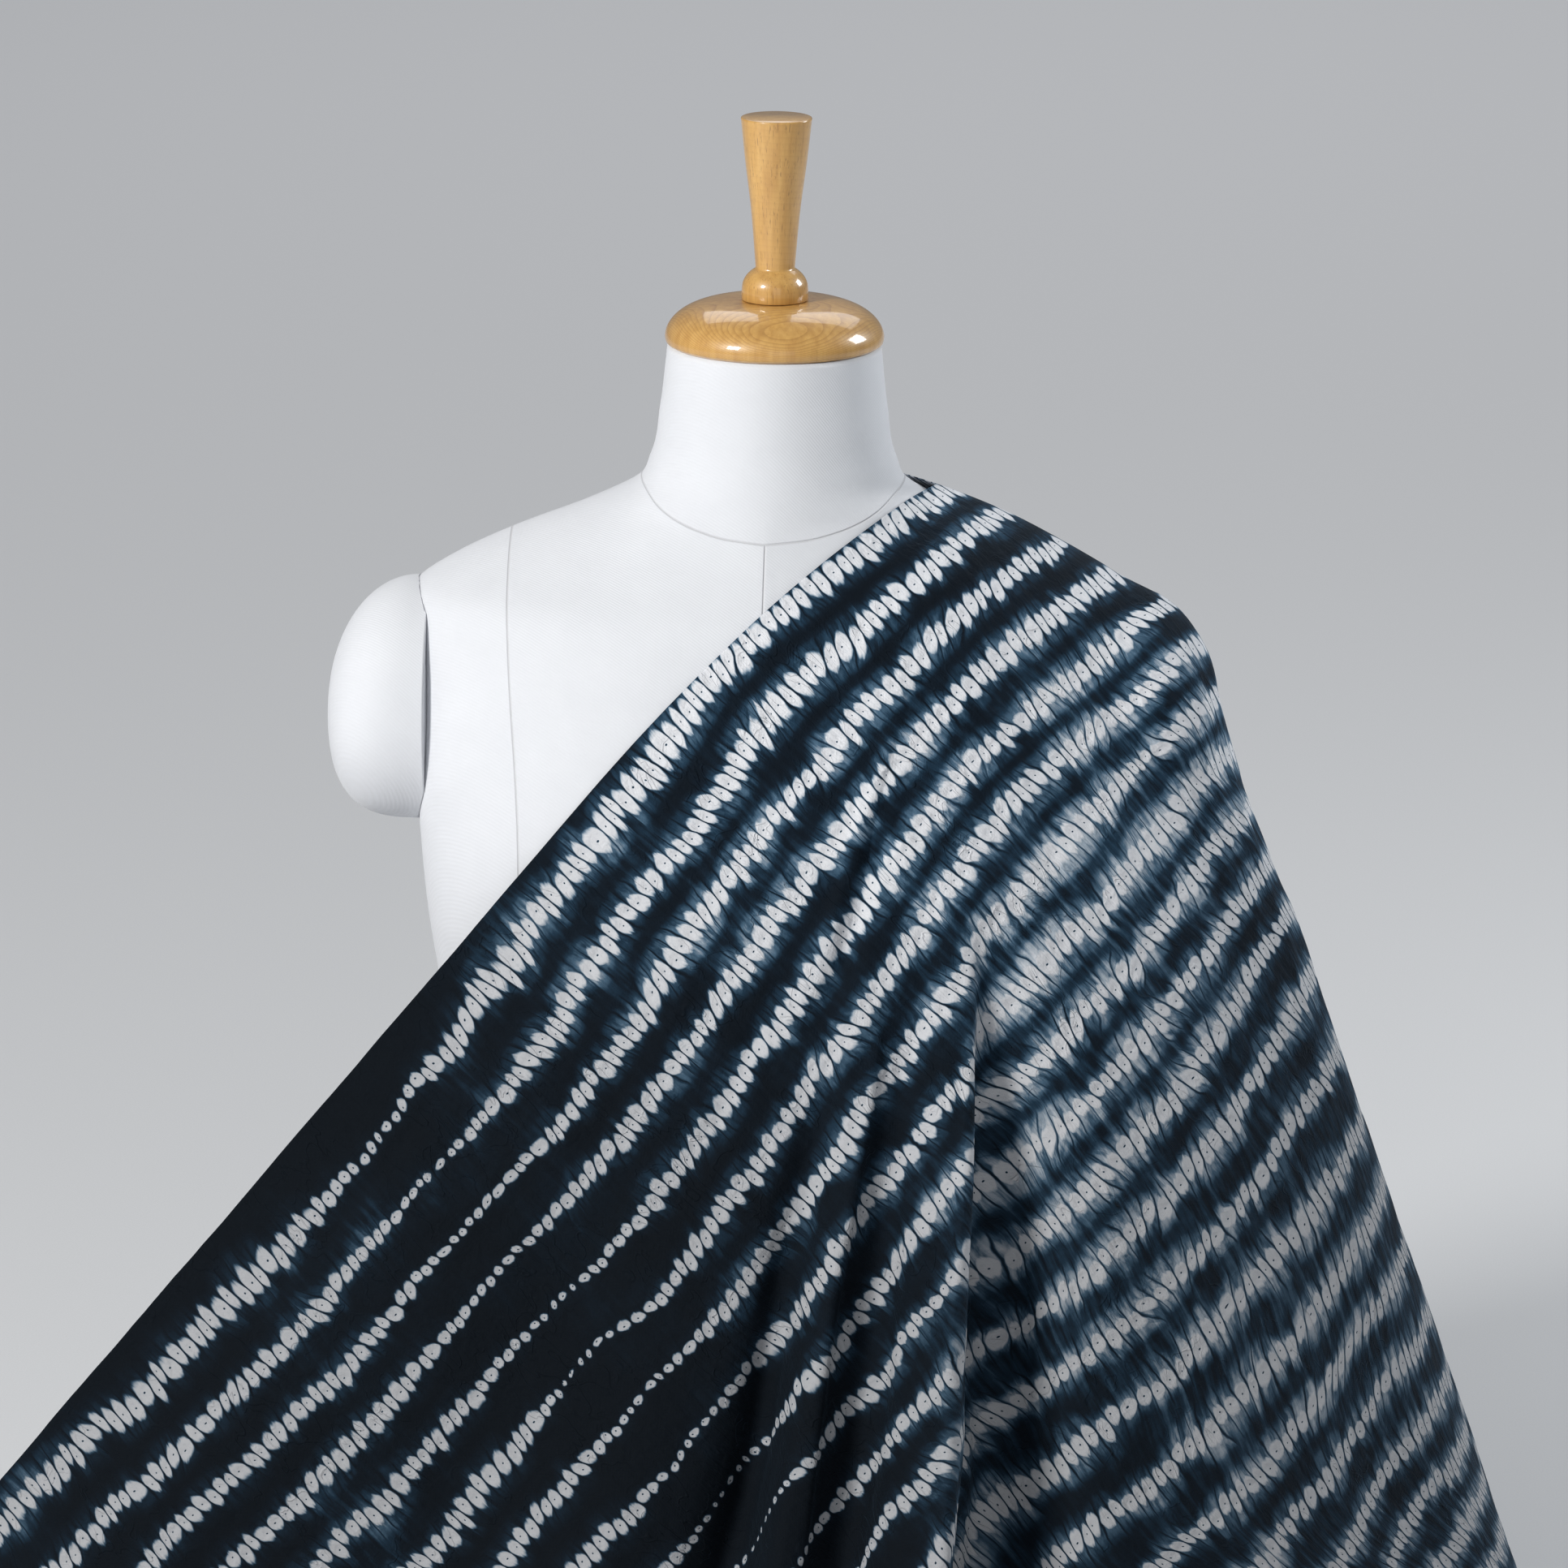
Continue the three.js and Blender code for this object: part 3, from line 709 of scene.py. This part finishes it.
def clear_form(points, steps=8):
    """Moves points out of the form by the shortest way."""
    points = points.copy()
    for _ in range(steps):
        depth = form_depth(points)
        inside = depth < 1
        if not inside.any():
            break
        p = points[inside]
        d = depth[inside]
        slope = np.stack([(form_depth(p + 0.5 * axis) - d) / 0.5 for axis in np.eye(3)], axis=-1)
        steep = np.maximum(np.linalg.norm(slope, axis=-1), 0.001)
        move = np.minimum((1 - d) / steep + 0.02, 8)
        points[inside] = p + slope / steep[:, None] * move[:, None]
    return points


def settle(grid, last_row, rounds, edge_pull=0.3):
    """Evens out the cloth between the shoulder and its fall, and keeps it on the form."""
    for _ in range(rounds):
        part = grid[:, : last_row + 1]
        down = (part[:, :-2] + part[:, 2:]) / 2
        mean = down.copy()
        mean[1:-1] = (down[1:-1] + (part[:-2, 1:-1] + part[2:, 1:-1]) / 2) / 2
        pull = np.full((len(grid), 1, 1), 0.5)
        pull[[0, -1]] = edge_pull
        part[:, 1:-1] = clear_form(part[:, 1:-1] + pull * (mean - part[:, 1:-1]))
    return grid


TURN_CELLS, FALL_CELLS, BEND_CELLS, LIP_CELLS = 12, 10, 3, 1
COLUMNS = 96
FOLDED_FROM, FOLDED_TO, FOLDED_FINER = 2.95, 4.7, 3.9
rib_counts = np.linspace(0, LAST_RIB + (FOLDED_FINER - 1) * (FOLDED_TO - FOLDED_FROM), COLUMNS + 1)
in_folds = FOLDED_FROM + (rib_counts - FOLDED_FROM) / FOLDED_FINER
past = rib_counts - (FOLDED_FINER - 1) * (FOLDED_TO - FOLDED_FROM)
ribs = np.where(rib_counts < FOLDED_FROM, rib_counts, np.where(in_folds > FOLDED_TO, past, in_folds))
coarse, far, reach, out = rib_points(TURN_CELLS, FALL_CELLS, BEND_CELLS, LIP_CELLS, ribs)
coarse = add_folds(coarse, far, reach, out, ribs)
coarse[:, 1:] = clear_form(coarse[:, 1:])
coarse = settle(coarse, TURN_CELLS + 3, 17)
print("cloth drawn on", coarse.shape[:2], "points; its longest rib is", round(far[:, -1].max()), "mm")

# %% [markdown]
# ## A finer net over the same shape
# The coarse net has the shape. The visible cloth needs many more points, so a smooth surface is
# laid through the coarse one, first down each rib and then across them. The finer net also takes
# what the solid leaves out: sharp creases along the crests of the folds, the slight waviness of
# cotton that was crumpled when it was wet, and the pull lines at the shoulder.

# %% Lay the fine net
FINE_COLUMNS = 300
FINE_ROWS = (50, 86, 14, 8)
CREASES = table(
    "top foot start end half height",
    (4.29, 3.90, 275, 680, 5.0, 7.0),     # bright line along the deepest fold
    (3.70, 3.52, 320, 700, 4.5, 5.0),     # and along the one beside it
    (3.40, 3.20, 360, 700, 9.0, -6.0),
    (3.92, 3.68, 300, 700, 9.0, -6.0),
    (4.46, 4.11, 255, 680, 14.0, -17.0),
    (4.60, 4.26, 300, 680, 20.0, -6.0),
    (3.90, 3.30, 135, 330, 7.0, -4.5),
    (3.72, 3.15, 140, 330, 6.0, 2.5),
    (3.05, 2.60, 300, 470, 5.0, -2.2),
    (2.42, 2.20, 300, 430, 4.0, 1.6),
    (1.55, 1.10, 330, 560, 3.0, -1.3),
    (0.95, 0.75, 420, 640, 3.0, -1.3),
    (2.10, 1.70, 250, 520, 3.5, -1.2),
    (5.50, 5.30, 150, 420, 7.0, 1.8),
    (6.25, 6.05, 120, 400, 6.0, -1.8),
    (6.75, 6.60, 110, 420, 5.0, 1.5),
    (7.25, 7.20, 100, 430, 6.0, -1.6),
    (4.90, 4.95, 140, 360, 7.0, -1.4),
    (5.05, 4.75, 300, 600, 10.0, 2.0),
    (8.10, 8.05, 200, 560, 7.0, 2.0),
    (9.55, 9.60, 200, 600, 7.0, -2.0),
    (10.9, 11.1, 220, 620, 6.0, 2.0),
    (12.4, 12.6, 250, 600, 6.0, -1.6),
)


def finer(values, axis, places):
    """A smooth curve through an array along one of its directions."""
    values = np.moveaxis(values, axis, 0)
    i = np.clip(np.floor(places).astype(int), 0, len(values) - 2)
    f = (places - i).reshape((-1,) + (1,) * (values.ndim - 1))
    slopes = np.gradient(values, axis=0)
    f2, f3 = f * f, f * f * f
    curve = (
        (2 * f3 - 3 * f2 + 1) * values[i] + (f3 - 2 * f2 + f) * slopes[i]
        + (3 * f2 - 2 * f3) * values[i + 1] + (f3 - f2) * slopes[i + 1]
    )
    return np.moveaxis(curve, 0, axis)


def lengths(points, axis):
    """Length walked along one direction of a net."""
    steps = np.linalg.norm(np.diff(points, axis=axis), axis=-1)
    zero = np.zeros_like(np.take(steps, [0], axis=axis))
    return np.concatenate([zero, np.cumsum(steps, axis=axis)], axis=axis)


STRETCH_CELLS = (TURN_CELLS, FALL_CELLS, BEND_CELLS, LIP_CELLS)
row_places = np.concatenate([
    np.linspace(start, start + cells, count, endpoint=False)
    for start, cells, count in zip((0, 12, 22, 25), STRETCH_CELLS, FINE_ROWS)
] + [[sum(STRETCH_CELLS)]])
column_places = np.linspace(0, COLUMNS, FINE_COLUMNS + 1)
net = finer(finer(coarse, 1, row_places), 0, column_places)
net_ribs = finer(ribs, 0, column_places)
net_far = lengths(net, 1)
net[:, 1:] = clear_form(net[:, 1:])
print("fine net", net.shape[:2])

# %% [markdown]
# ## Where each point was on the flat cloth
# The dyed rows were made on flat cloth, parallel to its edge, so the pattern needs each point's
# place on the flat cloth. Seen from the shoulder, the cloth opens like a fan: a point's distance
# from the shoulder stays the same, and the widths of the fan's strips add up to its angle. The
# two ends of the edge lie in one straight line, so the whole fan is half a turn.

# %% Unroll the cloth
def unroll(points, far):
    """Places on the flat cloth: along its edge and away from it, in millimetres."""
    mid = np.maximum((far[1:] + far[:-1]) / 2, 1.0)
    gap = np.linalg.norm(np.diff(points, axis=0), axis=-1)
    strip = np.sqrt(np.maximum(gap ** 2 - np.diff(far, axis=0) ** 2, 0)) / mid
    strip[:, 0] = strip[:, 1]
    for k in range(1, 9):
        strip[:, k] = strip[:, 9]
    for _ in range(20):
        strip[:, 1:-1] = (strip[:, :-2] + strip[:, 1:-1] + strip[:, 2:]) / 3
    turn = np.concatenate([np.zeros((1, points.shape[1])), np.cumsum(strip, axis=0)])
    kept = int(np.searchsorted(net_ribs, 6.6))
    scale = (np.pi - turn[kept]) / (turn[-1] - turn[kept])
    turn[kept:] = turn[kept] + (turn[kept:] - turn[kept]) * scale
    print("fan angle at the hem", round(math.degrees(turn[kept, -1])), "degrees to the arm")
    print("back scaled", np.round(scale[[9, 60, -1]], 2))
    return far * np.cos(turn), far * np.sin(turn)


edge_way, edge_off = unroll(net, net_far)

# %% [markdown]
# ## Creases and crinkle
# Each crease is a soft ridge or trough a few millimetres wide, placed between two ribs and
# between two distances from the shoulder. The crinkle is smooth noise on the flat cloth, longer
# down the cloth than across it, because the cloth was gathered across by the stitching.

# %% Press in the creases and the crinkle
def net_normals(points):
    """Direction square to the net at each point, away from the form."""
    down = np.gradient(points, axis=1)
    across = np.gradient(points, axis=0)
    face = -np.cross(across, down)
    face[:, 0] = (0, 0, 1)
    return face / np.maximum(np.linalg.norm(face, axis=-1, keepdims=True), 1e-9)


ring_way = lengths(net, 0)
push = np.zeros(net.shape[:2])
for k in range(len(CREASES["top"])):
    crease = {name: values[k] for name, values in CREASES.items()}
    share = np.clip((net_far - crease["start"]) / (crease["end"] - crease["start"]), 0, 1)
    middle_rib = crease["top"] + (crease["foot"] - crease["top"]) * share
    middle_rib = middle_rib + 0.02 * np.sin(share * 9 + k)
    rib_width = np.gradient(ring_way, axis=0) / np.maximum(np.gradient(net_ribs), 1e-6)[:, None]
    off = (net_ribs[:, None] - middle_rib) * rib_width
    fade = np.sin(np.pi * share) ** 0.6
    push += crease["height"] * fade * np.exp(-(off / crease["half"]) ** 2)

crinkle = np.zeros(net.shape[:2])
for i in range(net.shape[0]):
    for j in range(net.shape[1]):
        a, b = edge_way[i, j], edge_off[i, j]
        crinkle[i, j] = (
            1.5 * noise.noise((a * 0.016, b * 0.007, 1.7))
            + 0.8 * noise.noise((a * 0.045, b * 0.018, 5.1))
            + 0.45 * noise.noise((a * 0.10, b * 0.05, 9.4))
        )
free = np.clip((net_far - 30) / 120, 0.25, 1)
lying = np.clip(net[..., 2] / 25, 0, 1)
net = net + ((push + crinkle * free) * lying)[..., None] * net_normals(net)
net[:, 1:] = clear_form(net[:, 1:])
net[..., 2] = np.maximum(net[..., 2], 0.6)
print("crinkle from", round(crinkle.min(), 2), "to", round(crinkle.max(), 2), "mm")

# %% [markdown]
# ## Indigo and the stitched figures
# Cloth that was squeezed between two drawn-up stitches stays white, in the shape of a petal that
# is pointed where the dye crept in along the pleats. Between petals runs a thin dark line, where
# the pleat's edge met the dye. Where the thread was slack a petal shrinks to a dot. The needle
# leaves a tiny dark hole at the middle of each.
#
# All of this follows from a point's place on the flat cloth: the row that it is in, the petal
# along that row, and how far it is from that petal's middle.

# %% The stitched pattern, as a group on the cloth's own coordinates
ROW_PITCH = 33.0 * MM
PETAL_PITCH = 7.1 * MM
FIRST_ROW = 6.0 * MM
graph, given, result = shader_group(
    "StitchedRows",
    [("Vector", "NodeSocketVector", None), ("Row Pitch", "NodeSocketFloat", ROW_PITCH),
     ("Petal Pitch", "NodeSocketFloat", PETAL_PITCH)],
    [("White", "NodeSocketFloat"), ("Halo", "NodeSocketFloat"), ("Slit", "NodeSocketFloat"),
     ("Hole", "NodeSocketFloat"), ("Pucker", "NodeSocketFloat"), ("Across", "NodeSocketFloat")],
)


def times(a, b):
    return graph.math("MULTIPLY", a, b)


def plus(a, b):
    return graph.math("ADD", a, b)


def minus(a, b):
    return graph.math("SUBTRACT", a, b)


def group_noise(x, y, z=0.0, **settings):
    return graph.noise(graph.vector(x, y, z), 1.0, **settings)


def centred(value, size):
    """A noise between 0 and 1 as a number that wanders each side of 0."""
    return graph.math("MULTIPLY_ADD", value, 2 * size, -size)


s, t, _ = graph.split(given["Vector"])
warp_s = centred(group_noise(times(s, 8.0), times(t, 8.0), 1.0), 0.010)
warp_t = centred(group_noise(times(s, 7.0), times(t, 9.0), 4.0), 0.012)
s1 = plus(s, warp_s)
near_edge = graph.ramp(t, 0.0, 0.050, 0.62, 1.0)
lift = minus(graph.ramp(s, 0.13, 0.47, 0.0, 0.030), graph.ramp(s, 0.60, 0.85, 0.0, 0.016))
sink = times(graph.ramp(t, 0.30, 0.60, -0.010, 0.034), graph.ramp(s, 0.10, 0.50, 1.0, 0.1))
row_way = minus(minus(plus(t, warp_t), times(lift, near_edge)), times(sink, graph.ramp(t, 0.05, 0.20)))
row_place = graph.math("DIVIDE", minus(row_way, FIRST_ROW), given["Row Pitch"])
row = graph.math("ROUND", row_place)
in_rows = graph.ramp(row, -0.6, -0.4)
row_seed = times(row, 3.71)
in_row = times(minus(row_place, row), given["Row Pitch"])
wander = centred(group_noise(times(s, 34.0), row_seed, 2.0, detail=1.0), 0.0036)
y = minus(in_row, wander)

lean = centred(group_noise(times(s, 30.0), row_seed, 7.0, detail=1.0), 0.95)
uneven = centred(group_noise(times(s, 58.0), row_seed, 9.0, detail=1.0), 0.80)
y_pitch = graph.math("DIVIDE", y, given["Petal Pitch"])
q = plus(graph.math("DIVIDE", s1, given["Petal Pitch"]), plus(uneven, times(row_seed, 1.3)))
q = plus(q, times(lean, y_pitch))
sway = centred(group_noise(times(q, 0.9), times(y, 75.0), row_seed), 0.22)
q = plus(q, sway)
petal = graph.math("FLOOR", q)
f = minus(minus(q, petal), 0.5)
side = graph.math("ABSOLUTE", f)
dice = graph.add("ShaderNodeTexWhiteNoise", graph.vector(petal, row, 1.0)).outputs["Color"]
r1, r2, r3 = graph.add("ShaderNodeSeparateColor", dice).outputs

tight = graph.ramp(group_noise(times(s, 13.0), times(row_seed, 2.0), 3.0, detail=2.0), 0.22, 0.50, 0.55, 1.0)
slack_near = graph.math("ABSOLUTE", minus(s1, 0.492))
slack = graph.ramp(slack_near, 0.0, 0.095, 0.92, 0.0)
slack_row = graph.ramp(group_noise(row_seed, 5.0, 5.0), 0.30, 0.62, 0.62, 0.95)
slack = times(slack, times(slack_row, graph.ramp(t, 0.36, 0.46, 1.0, 0.0)))
tight = graph.math("MAXIMUM", minus(tight, slack), 0.0)
y = minus(y, times(tight, centred(r1, 0.0016)))
y = minus(y, times(tight, centred(graph.math("PINGPONG", petal, 1.0), 0.0009)))
spare = graph.ramp(graph.math("SQRT", plus(times(s, s), times(t, t))), 0.22, 0.44, 1.0, 0.76)
half_long = graph.math("MULTIPLY_ADD", times(tight, spare), 0.0078, 0.0014)
cluster_up = group_noise(times(q, 0.42), row_seed, 11.0, detail=1.0)
cluster_down = group_noise(times(q, 0.42), row_seed, 17.0, detail=1.0)
upper = plus(graph.math("MULTIPLY_ADD", r1, 0.36, 0.50), times(cluster_up, 0.62))
lower = plus(graph.math("MULTIPLY_ADD", r2, 0.36, 0.50), times(cluster_down, 0.62))
above = graph.math("GREATER_THAN", y, 0.0)
half_long = times(half_long, graph.blend(above, upper, lower))
reach = graph.math("ABSOLUTE", graph.math("DIVIDE", y, half_long))
within = graph.math("MINIMUM", reach, 1.4)
half_wide = times(graph.math("MINIMUM", graph.math("MULTIPLY_ADD", tight, 0.75, 0.19), 0.51),
                  graph.math("MULTIPLY_ADD", r3, 0.10, 0.94))
narrowing = minus(1.0, times(graph.math("POWER", within, 2.0), graph.math("MULTIPLY_ADD", r3, 0.35, 0.50)))
edge = minus(times(half_wide, narrowing), side)
softness = graph.math("MULTIPLY_ADD", within, 0.22, 0.085)
white = graph.ramp(graph.math("DIVIDE", edge, softness), -0.5, 0.8)
ragged = centred(group_noise(times(q, 5.5), times(y, 60.0), row_seed, detail=2.0), 0.30)
white = times(white, graph.ramp(plus(reach, ragged), 0.50, 1.22, 1.0, 0.0))
slit = times(graph.ramp(side, 0.40, 0.495), graph.ramp(reach, 1.2, 3.0, 1.0, 0.4))
slit = times(slit, graph.math("MULTIPLY_ADD", r1, 0.55, 0.45))
slit = times(slit, graph.ramp(graph.math("ABSOLUTE", in_row), 0.0115, 0.0165, 1.0, 0.0))
white = times(times(white, in_rows), minus(1.0, times(slit, 0.97)))

halo_noise = group_noise(times(q, 0.30), plus(row_seed, times(above, 9.0)), 23.0)
halo_far = graph.ramp(halo_noise, 0.35, 0.65, 1.5, 3.2)
halo = graph.ramp(reach, 0.55, halo_far, 1.0, 0.0)
feather = group_noise(times(q, 2.8), times(y, 55.0), row_seed, detail=3.0, rough=0.6)
halo = times(halo, graph.ramp(feather, 0.22, 0.62, 0.30, 1.0))
halo = times(halo, times(minus(1.0, times(slit, 0.9)), graph.math("MULTIPLY_ADD", tight, 0.80, 0.20)))
halo = times(halo, times(in_rows, graph.ramp(graph.math("ABSOLUTE", in_row), 0.0110, 0.0165, 1.0, 0.0)))
from_hole = graph.math("POWER", plus(
    graph.math("POWER", times(minus(f, centred(r3, 0.08)), given["Petal Pitch"]), 2.0),
    graph.math("POWER", minus(y, centred(r2, 0.0012)), 2.0)), 0.5)
pucker = times(graph.ramp(from_hole, 0.0, 0.0045, 1.0, 0.0), in_rows)
hole = times(graph.ramp(from_hole, 0.00028, 0.00055, 1.0, 0.0), in_rows)
graph.feed(result["White"], white)
graph.feed(result["Halo"], halo)
graph.feed(result["Slit"], slit)
graph.feed(result["Hole"], hole)
graph.feed(result["Pucker"], pucker)
graph.feed(result["Across"], graph.math("DIVIDE", s1, given["Petal Pitch"]))
print("pattern group", len(graph.tree.nodes), "nodes")

# %% [markdown]
# Indigo is not one blue. Where the dye lay thick it is nearly black, it is slate blue where it
# crept under a pleat, and clouds of both lie between the rows. The amount of dye is one number,
# and a colour ramp turns it into the cloth's colours from undyed cotton to the deepest blue.

# %% Indigo cotton
cotton, graph, shader = new_material("stitched indigo cotton")
flat_place = graph.add("ShaderNodeUVMap", uv_map="flat cloth").outputs["UV"]
figures = use_group(graph, "StitchedRows", flat_place, ROW_PITCH, PETAL_PITCH)
s, t, _ = graph.split(flat_place)
cloud = graph.noise(flat_place, 24.0, 4.0, 0.55)
cloud_wide = graph.noise(graph.vector(s, t, 0.7), 7.0, 2.0)
washed_side = times(graph.ramp(s, 0.16, 0.42, 1.0, 0.0), graph.ramp(t, 0.10, 0.24))
cloudy = plus(times(cloud_wide, 0.55), plus(times(cloud, 0.45), times(washed_side, 0.14)))
cloudy = minus(cloudy, graph.ramp(s, 0.36, 0.52, 0.0, 0.09))
washed = graph.ramp(cloudy, 0.40, 0.68)
pleat = graph.noise(graph.vector(times(figures["Across"], 1.6), times(t, 20.0), 3.0), 1.0, 3.0, 0.6)
pleat = graph.ramp(pleat, 0.30, 0.72)
ground = times(washed, graph.math("MULTIPLY_ADD", pleat, 0.34, 0.10))
ground = times(ground, minus(1.0, times(figures["Slit"], 0.75)))
halo_share = graph.math("MULTIPLY_ADD", washed, 0.17, 0.36)
halo_share = times(halo_share, graph.ramp(s, 0.30, 0.50, 1.0, 0.72))
light = plus(ground, times(figures["Halo"], halo_share))
light = graph.math("MAXIMUM", light, figures["White"])
light = minus(light, times(figures["Hole"], 0.75))
# Uneven whites: partly a mottled tone of the cotton, partly painted shade of its fine crinkles.
mottle_and_crinkle_shade = graph.noise(flat_place, 330.0, 3.0, 0.6)
light = times(light, graph.math("MULTIPLY_ADD", mottle_and_crinkle_shade, 0.24, 0.88))
dye = graph.colours(
    graph.math("MINIMUM", graph.math("MAXIMUM", light, 0.0), 1.0),
    (0.0, (0.0016, 0.0042, 0.0082)),
    (0.14, (0.0036, 0.0100, 0.0190)),
    (0.32, (0.014, 0.040, 0.072)),
    (0.52, (0.080, 0.150, 0.225)),
    (0.76, (0.42, 0.49, 0.56)),
    (1.0, (0.76, 0.77, 0.80)),
)
# The cloth is made darker further from the shoulder: partly a greyer cotton there, partly painted shade.
from_shoulder = graph.math("SQRT", plus(times(s, s), times(t, t)))
grey_and_shaded_from_shoulder = graph.ramp(from_shoulder, 0.16, 0.50, 1.0, 0.50)
dye = graph.add("ShaderNodeVectorMath", dye, operation="SCALE")
graph.feed(dye.inputs["Scale"], grey_and_shaded_from_shoulder)
dye = dye.outputs["Vector"]
weave = use_group(graph, "Weave", flat_place, 0.00042, 0.0, 0.35)
dye = graph.mix(times(weave["Height"], 0.035), dye, (0.045, 0.09, 0.14, 1))
graph.feed(shader.inputs["Base Color"], dye)
gathers = graph.noise(graph.vector(times(s, 230.0), times(t, 40.0), 3.0), 1.0, 3.0, 0.55)
crumple = graph.noise(flat_place, 95.0, 4.0, 0.6, 0.6)
crease_field = graph.noise(graph.vector(times(s, 75.0), times(t, 38.0), 6.0), 1.0, 2.0, 0.5, 0.8)
crease_line = graph.ramp(graph.math("ABSOLUTE", minus(crease_field, 0.5)), 0.0, 0.022, 1.0, 0.0)
crease_line = times(crease_line, graph.ramp(graph.noise(flat_place, 22.0, 2.0), 0.42, 0.62))
height = times(gathers, 1.3)
height = plus(height, times(crumple, 1.5))
height = plus(height, times(crease_line, 0.55))
height = plus(height, times(figures["White"], 0.35))
height = plus(height, times(figures["Pucker"], -0.5))
height = plus(height, times(weave["Height"], 0.10))
bump = graph.add("ShaderNodeBump")
graph.feed(bump.inputs["Height"], height)
bump.inputs["Distance"].default_value = 1.3 * MM
bump.inputs["Strength"].default_value = 0.75
graph.feed(shader.inputs["Normal"], bump.outputs[0])
shader.inputs["Roughness"].default_value = 0.82
shader.inputs["Sheen Weight"].default_value = 0.05
shader.inputs["Sheen Tint"].default_value = (0.40, 0.68, 1.0, 1)
shader.inputs["Sheen Roughness"].default_value = 0.4
shader.inputs["Specular IOR Level"].default_value = 0.12

# %% [markdown]
# ## The cloth itself
# A grid is the natural start for a cloth: it has the same rows and columns as the net, so each of
# its points moves to the net's point, and its first row closes up at the shoulder. The grid also
# carries the flat places as its UV map. Solidify then gives the cotton its thickness.

# %% Drape the grid
bm = bmesh.new()
rows_down = sum(FINE_ROWS)
bmesh.ops.create_grid(bm, x_segments=FINE_COLUMNS, y_segments=rows_down, size=0.5)
flat_map = bm.loops.layers.uv.new("flat cloth")
cell = {v: (round((v.co.x + 0.5) * FINE_COLUMNS), round((0.5 - v.co.y) * rows_down)) for v in bm.verts}
for face in bm.faces:
    for loop in face.loops:
        i, j = cell[loop.vert]
        loop[flat_map].uv = (edge_way[i, j] * MM, edge_off[i, j] * MM)
for v, (i, j) in cell.items():
    v.co = Vector(net[i, j]) * MM
bmesh.ops.remove_doubles(bm, verts=[v for v, (i, j) in cell.items() if j == 0], dist=0.0001)
facing = sum(f.normal.y < 0 for f in bm.faces if f.calc_center_median().y < -0.13)
print("faces towards the viewer in front", facing)
cloth = make_piece("draped_shibori_cloth", bm, cotton, "shibori_cloth")
thick = cloth.modifiers.new("thickness", "SOLIDIFY")
thick.thickness = SHEET * MM
thick.offset = 0.0

# %% [markdown]
# ## Camera, light and floor
# The camera stands a little above the form and looks down at it through a long lens, as in the
# photo. A large soft light from the front left shows the folds, a weaker one fills the shadows,
# and one from behind on the right draws the bright line along the cloth's edge.

# %% Camera
AIM = Vector((7.3, 0, 500)) * MM
DISTANCE = 4.3
SENSOR_WIDTH = 36.0
FOCAL_PIXELS = 9842
PHOTO_PIXELS = 1932
AZIMUTH, PITCH, ROLL = (math.radians(a) for a in (3.0, 14.5, 0.55))
ahead = Vector((-math.sin(AZIMUTH) * math.cos(PITCH), math.cos(AZIMUTH) * math.cos(PITCH), -math.sin(PITCH)))
level = Vector((math.cos(AZIMUTH), math.sin(AZIMUTH), 0))
upward = level.cross(ahead)
right = level * math.cos(ROLL) + upward * math.sin(ROLL)
top = upward * math.cos(ROLL) - level * math.sin(ROLL)
camera_data = bpy.data.cameras.new("camera")
camera_data.sensor_width = SENSOR_WIDTH
camera_data.lens = SENSOR_WIDTH * FOCAL_PIXELS / PHOTO_PIXELS
camera_data.clip_end = 100
camera = bpy.data.objects.new("camera", camera_data)
turned = Matrix((right, top, -ahead)).transposed().to_4x4()
camera.matrix_world = Matrix.Translation(AIM - ahead * DISTANCE) @ turned
bpy.context.collection.objects.link(camera)
bpy.context.scene.camera = camera


# %% Soft lights
def soft_light(name, place, size, power, colour, aim=(0, 0, 0.4)):
    data = bpy.data.lights.new(name, "AREA")
    data.shape = "SQUARE"
    data.size = size
    data.energy = power
    data.color = colour
    lamp = bpy.data.objects.new(name, data)
    lamp.location = place
    lamp.rotation_euler = (Vector(aim) - Vector(place)).to_track_quat("-Z", "Y").to_euler()
    bpy.context.collection.objects.link(lamp)
    return lamp


soft_light("key", (-2.6, -2.8, 2.6), 0.9, 172, (1.0, 0.99, 0.97))
soft_light("fill", (0.7, -3.9, 1.4), 2.0, 9, (0.93, 0.96, 1.0))
soft_light("rim", (2.3, 0.8, 1.8), 0.9, 38, (0.95, 0.98, 1.0))
soft_light("floor light", (0.4, 6.0, 5.0), 6.0, 190, (0.97, 0.98, 1.0), aim=(0.4, 6.5, 0))
bpy.context.scene.view_settings.view_transform = "Standard"
world = bpy.data.worlds.new("studio")
bpy.context.scene.world = world
world.use_nodes = True
world.node_tree.nodes["Background"].inputs["Color"].default_value = (0.82, 0.85, 0.9, 1)
world.node_tree.nodes["Background"].inputs["Strength"].default_value = 0.20

# %% [markdown]
# The floor is one plain pale sheet. A light of its own behind the form keeps it pale there.

# %% Floor
floor_material, graph, shader = new_material("pale floor")
speckle = graph.noise(graph.add("ShaderNodeTexCoord").outputs["Object"], 900.0, 2.0)
pale = graph.colours(speckle, (0.3, (0.615, 0.62, 0.63)), (0.7, (0.645, 0.65, 0.66)))
graph.feed(shader.inputs["Base Color"], pale)
shader.inputs["Roughness"].default_value = 0.9
bm = bmesh.new()
bmesh.ops.create_grid(bm, x_segments=8, y_segments=8, size=30.0)
floor_mesh = bpy.data.meshes.new("floor")
bm.to_mesh(floor_mesh)
bm.free()
floor_mesh.materials.append(floor_material)
floor = bpy.data.objects.new("floor", floor_mesh)
bpy.context.collection.objects.link(floor)
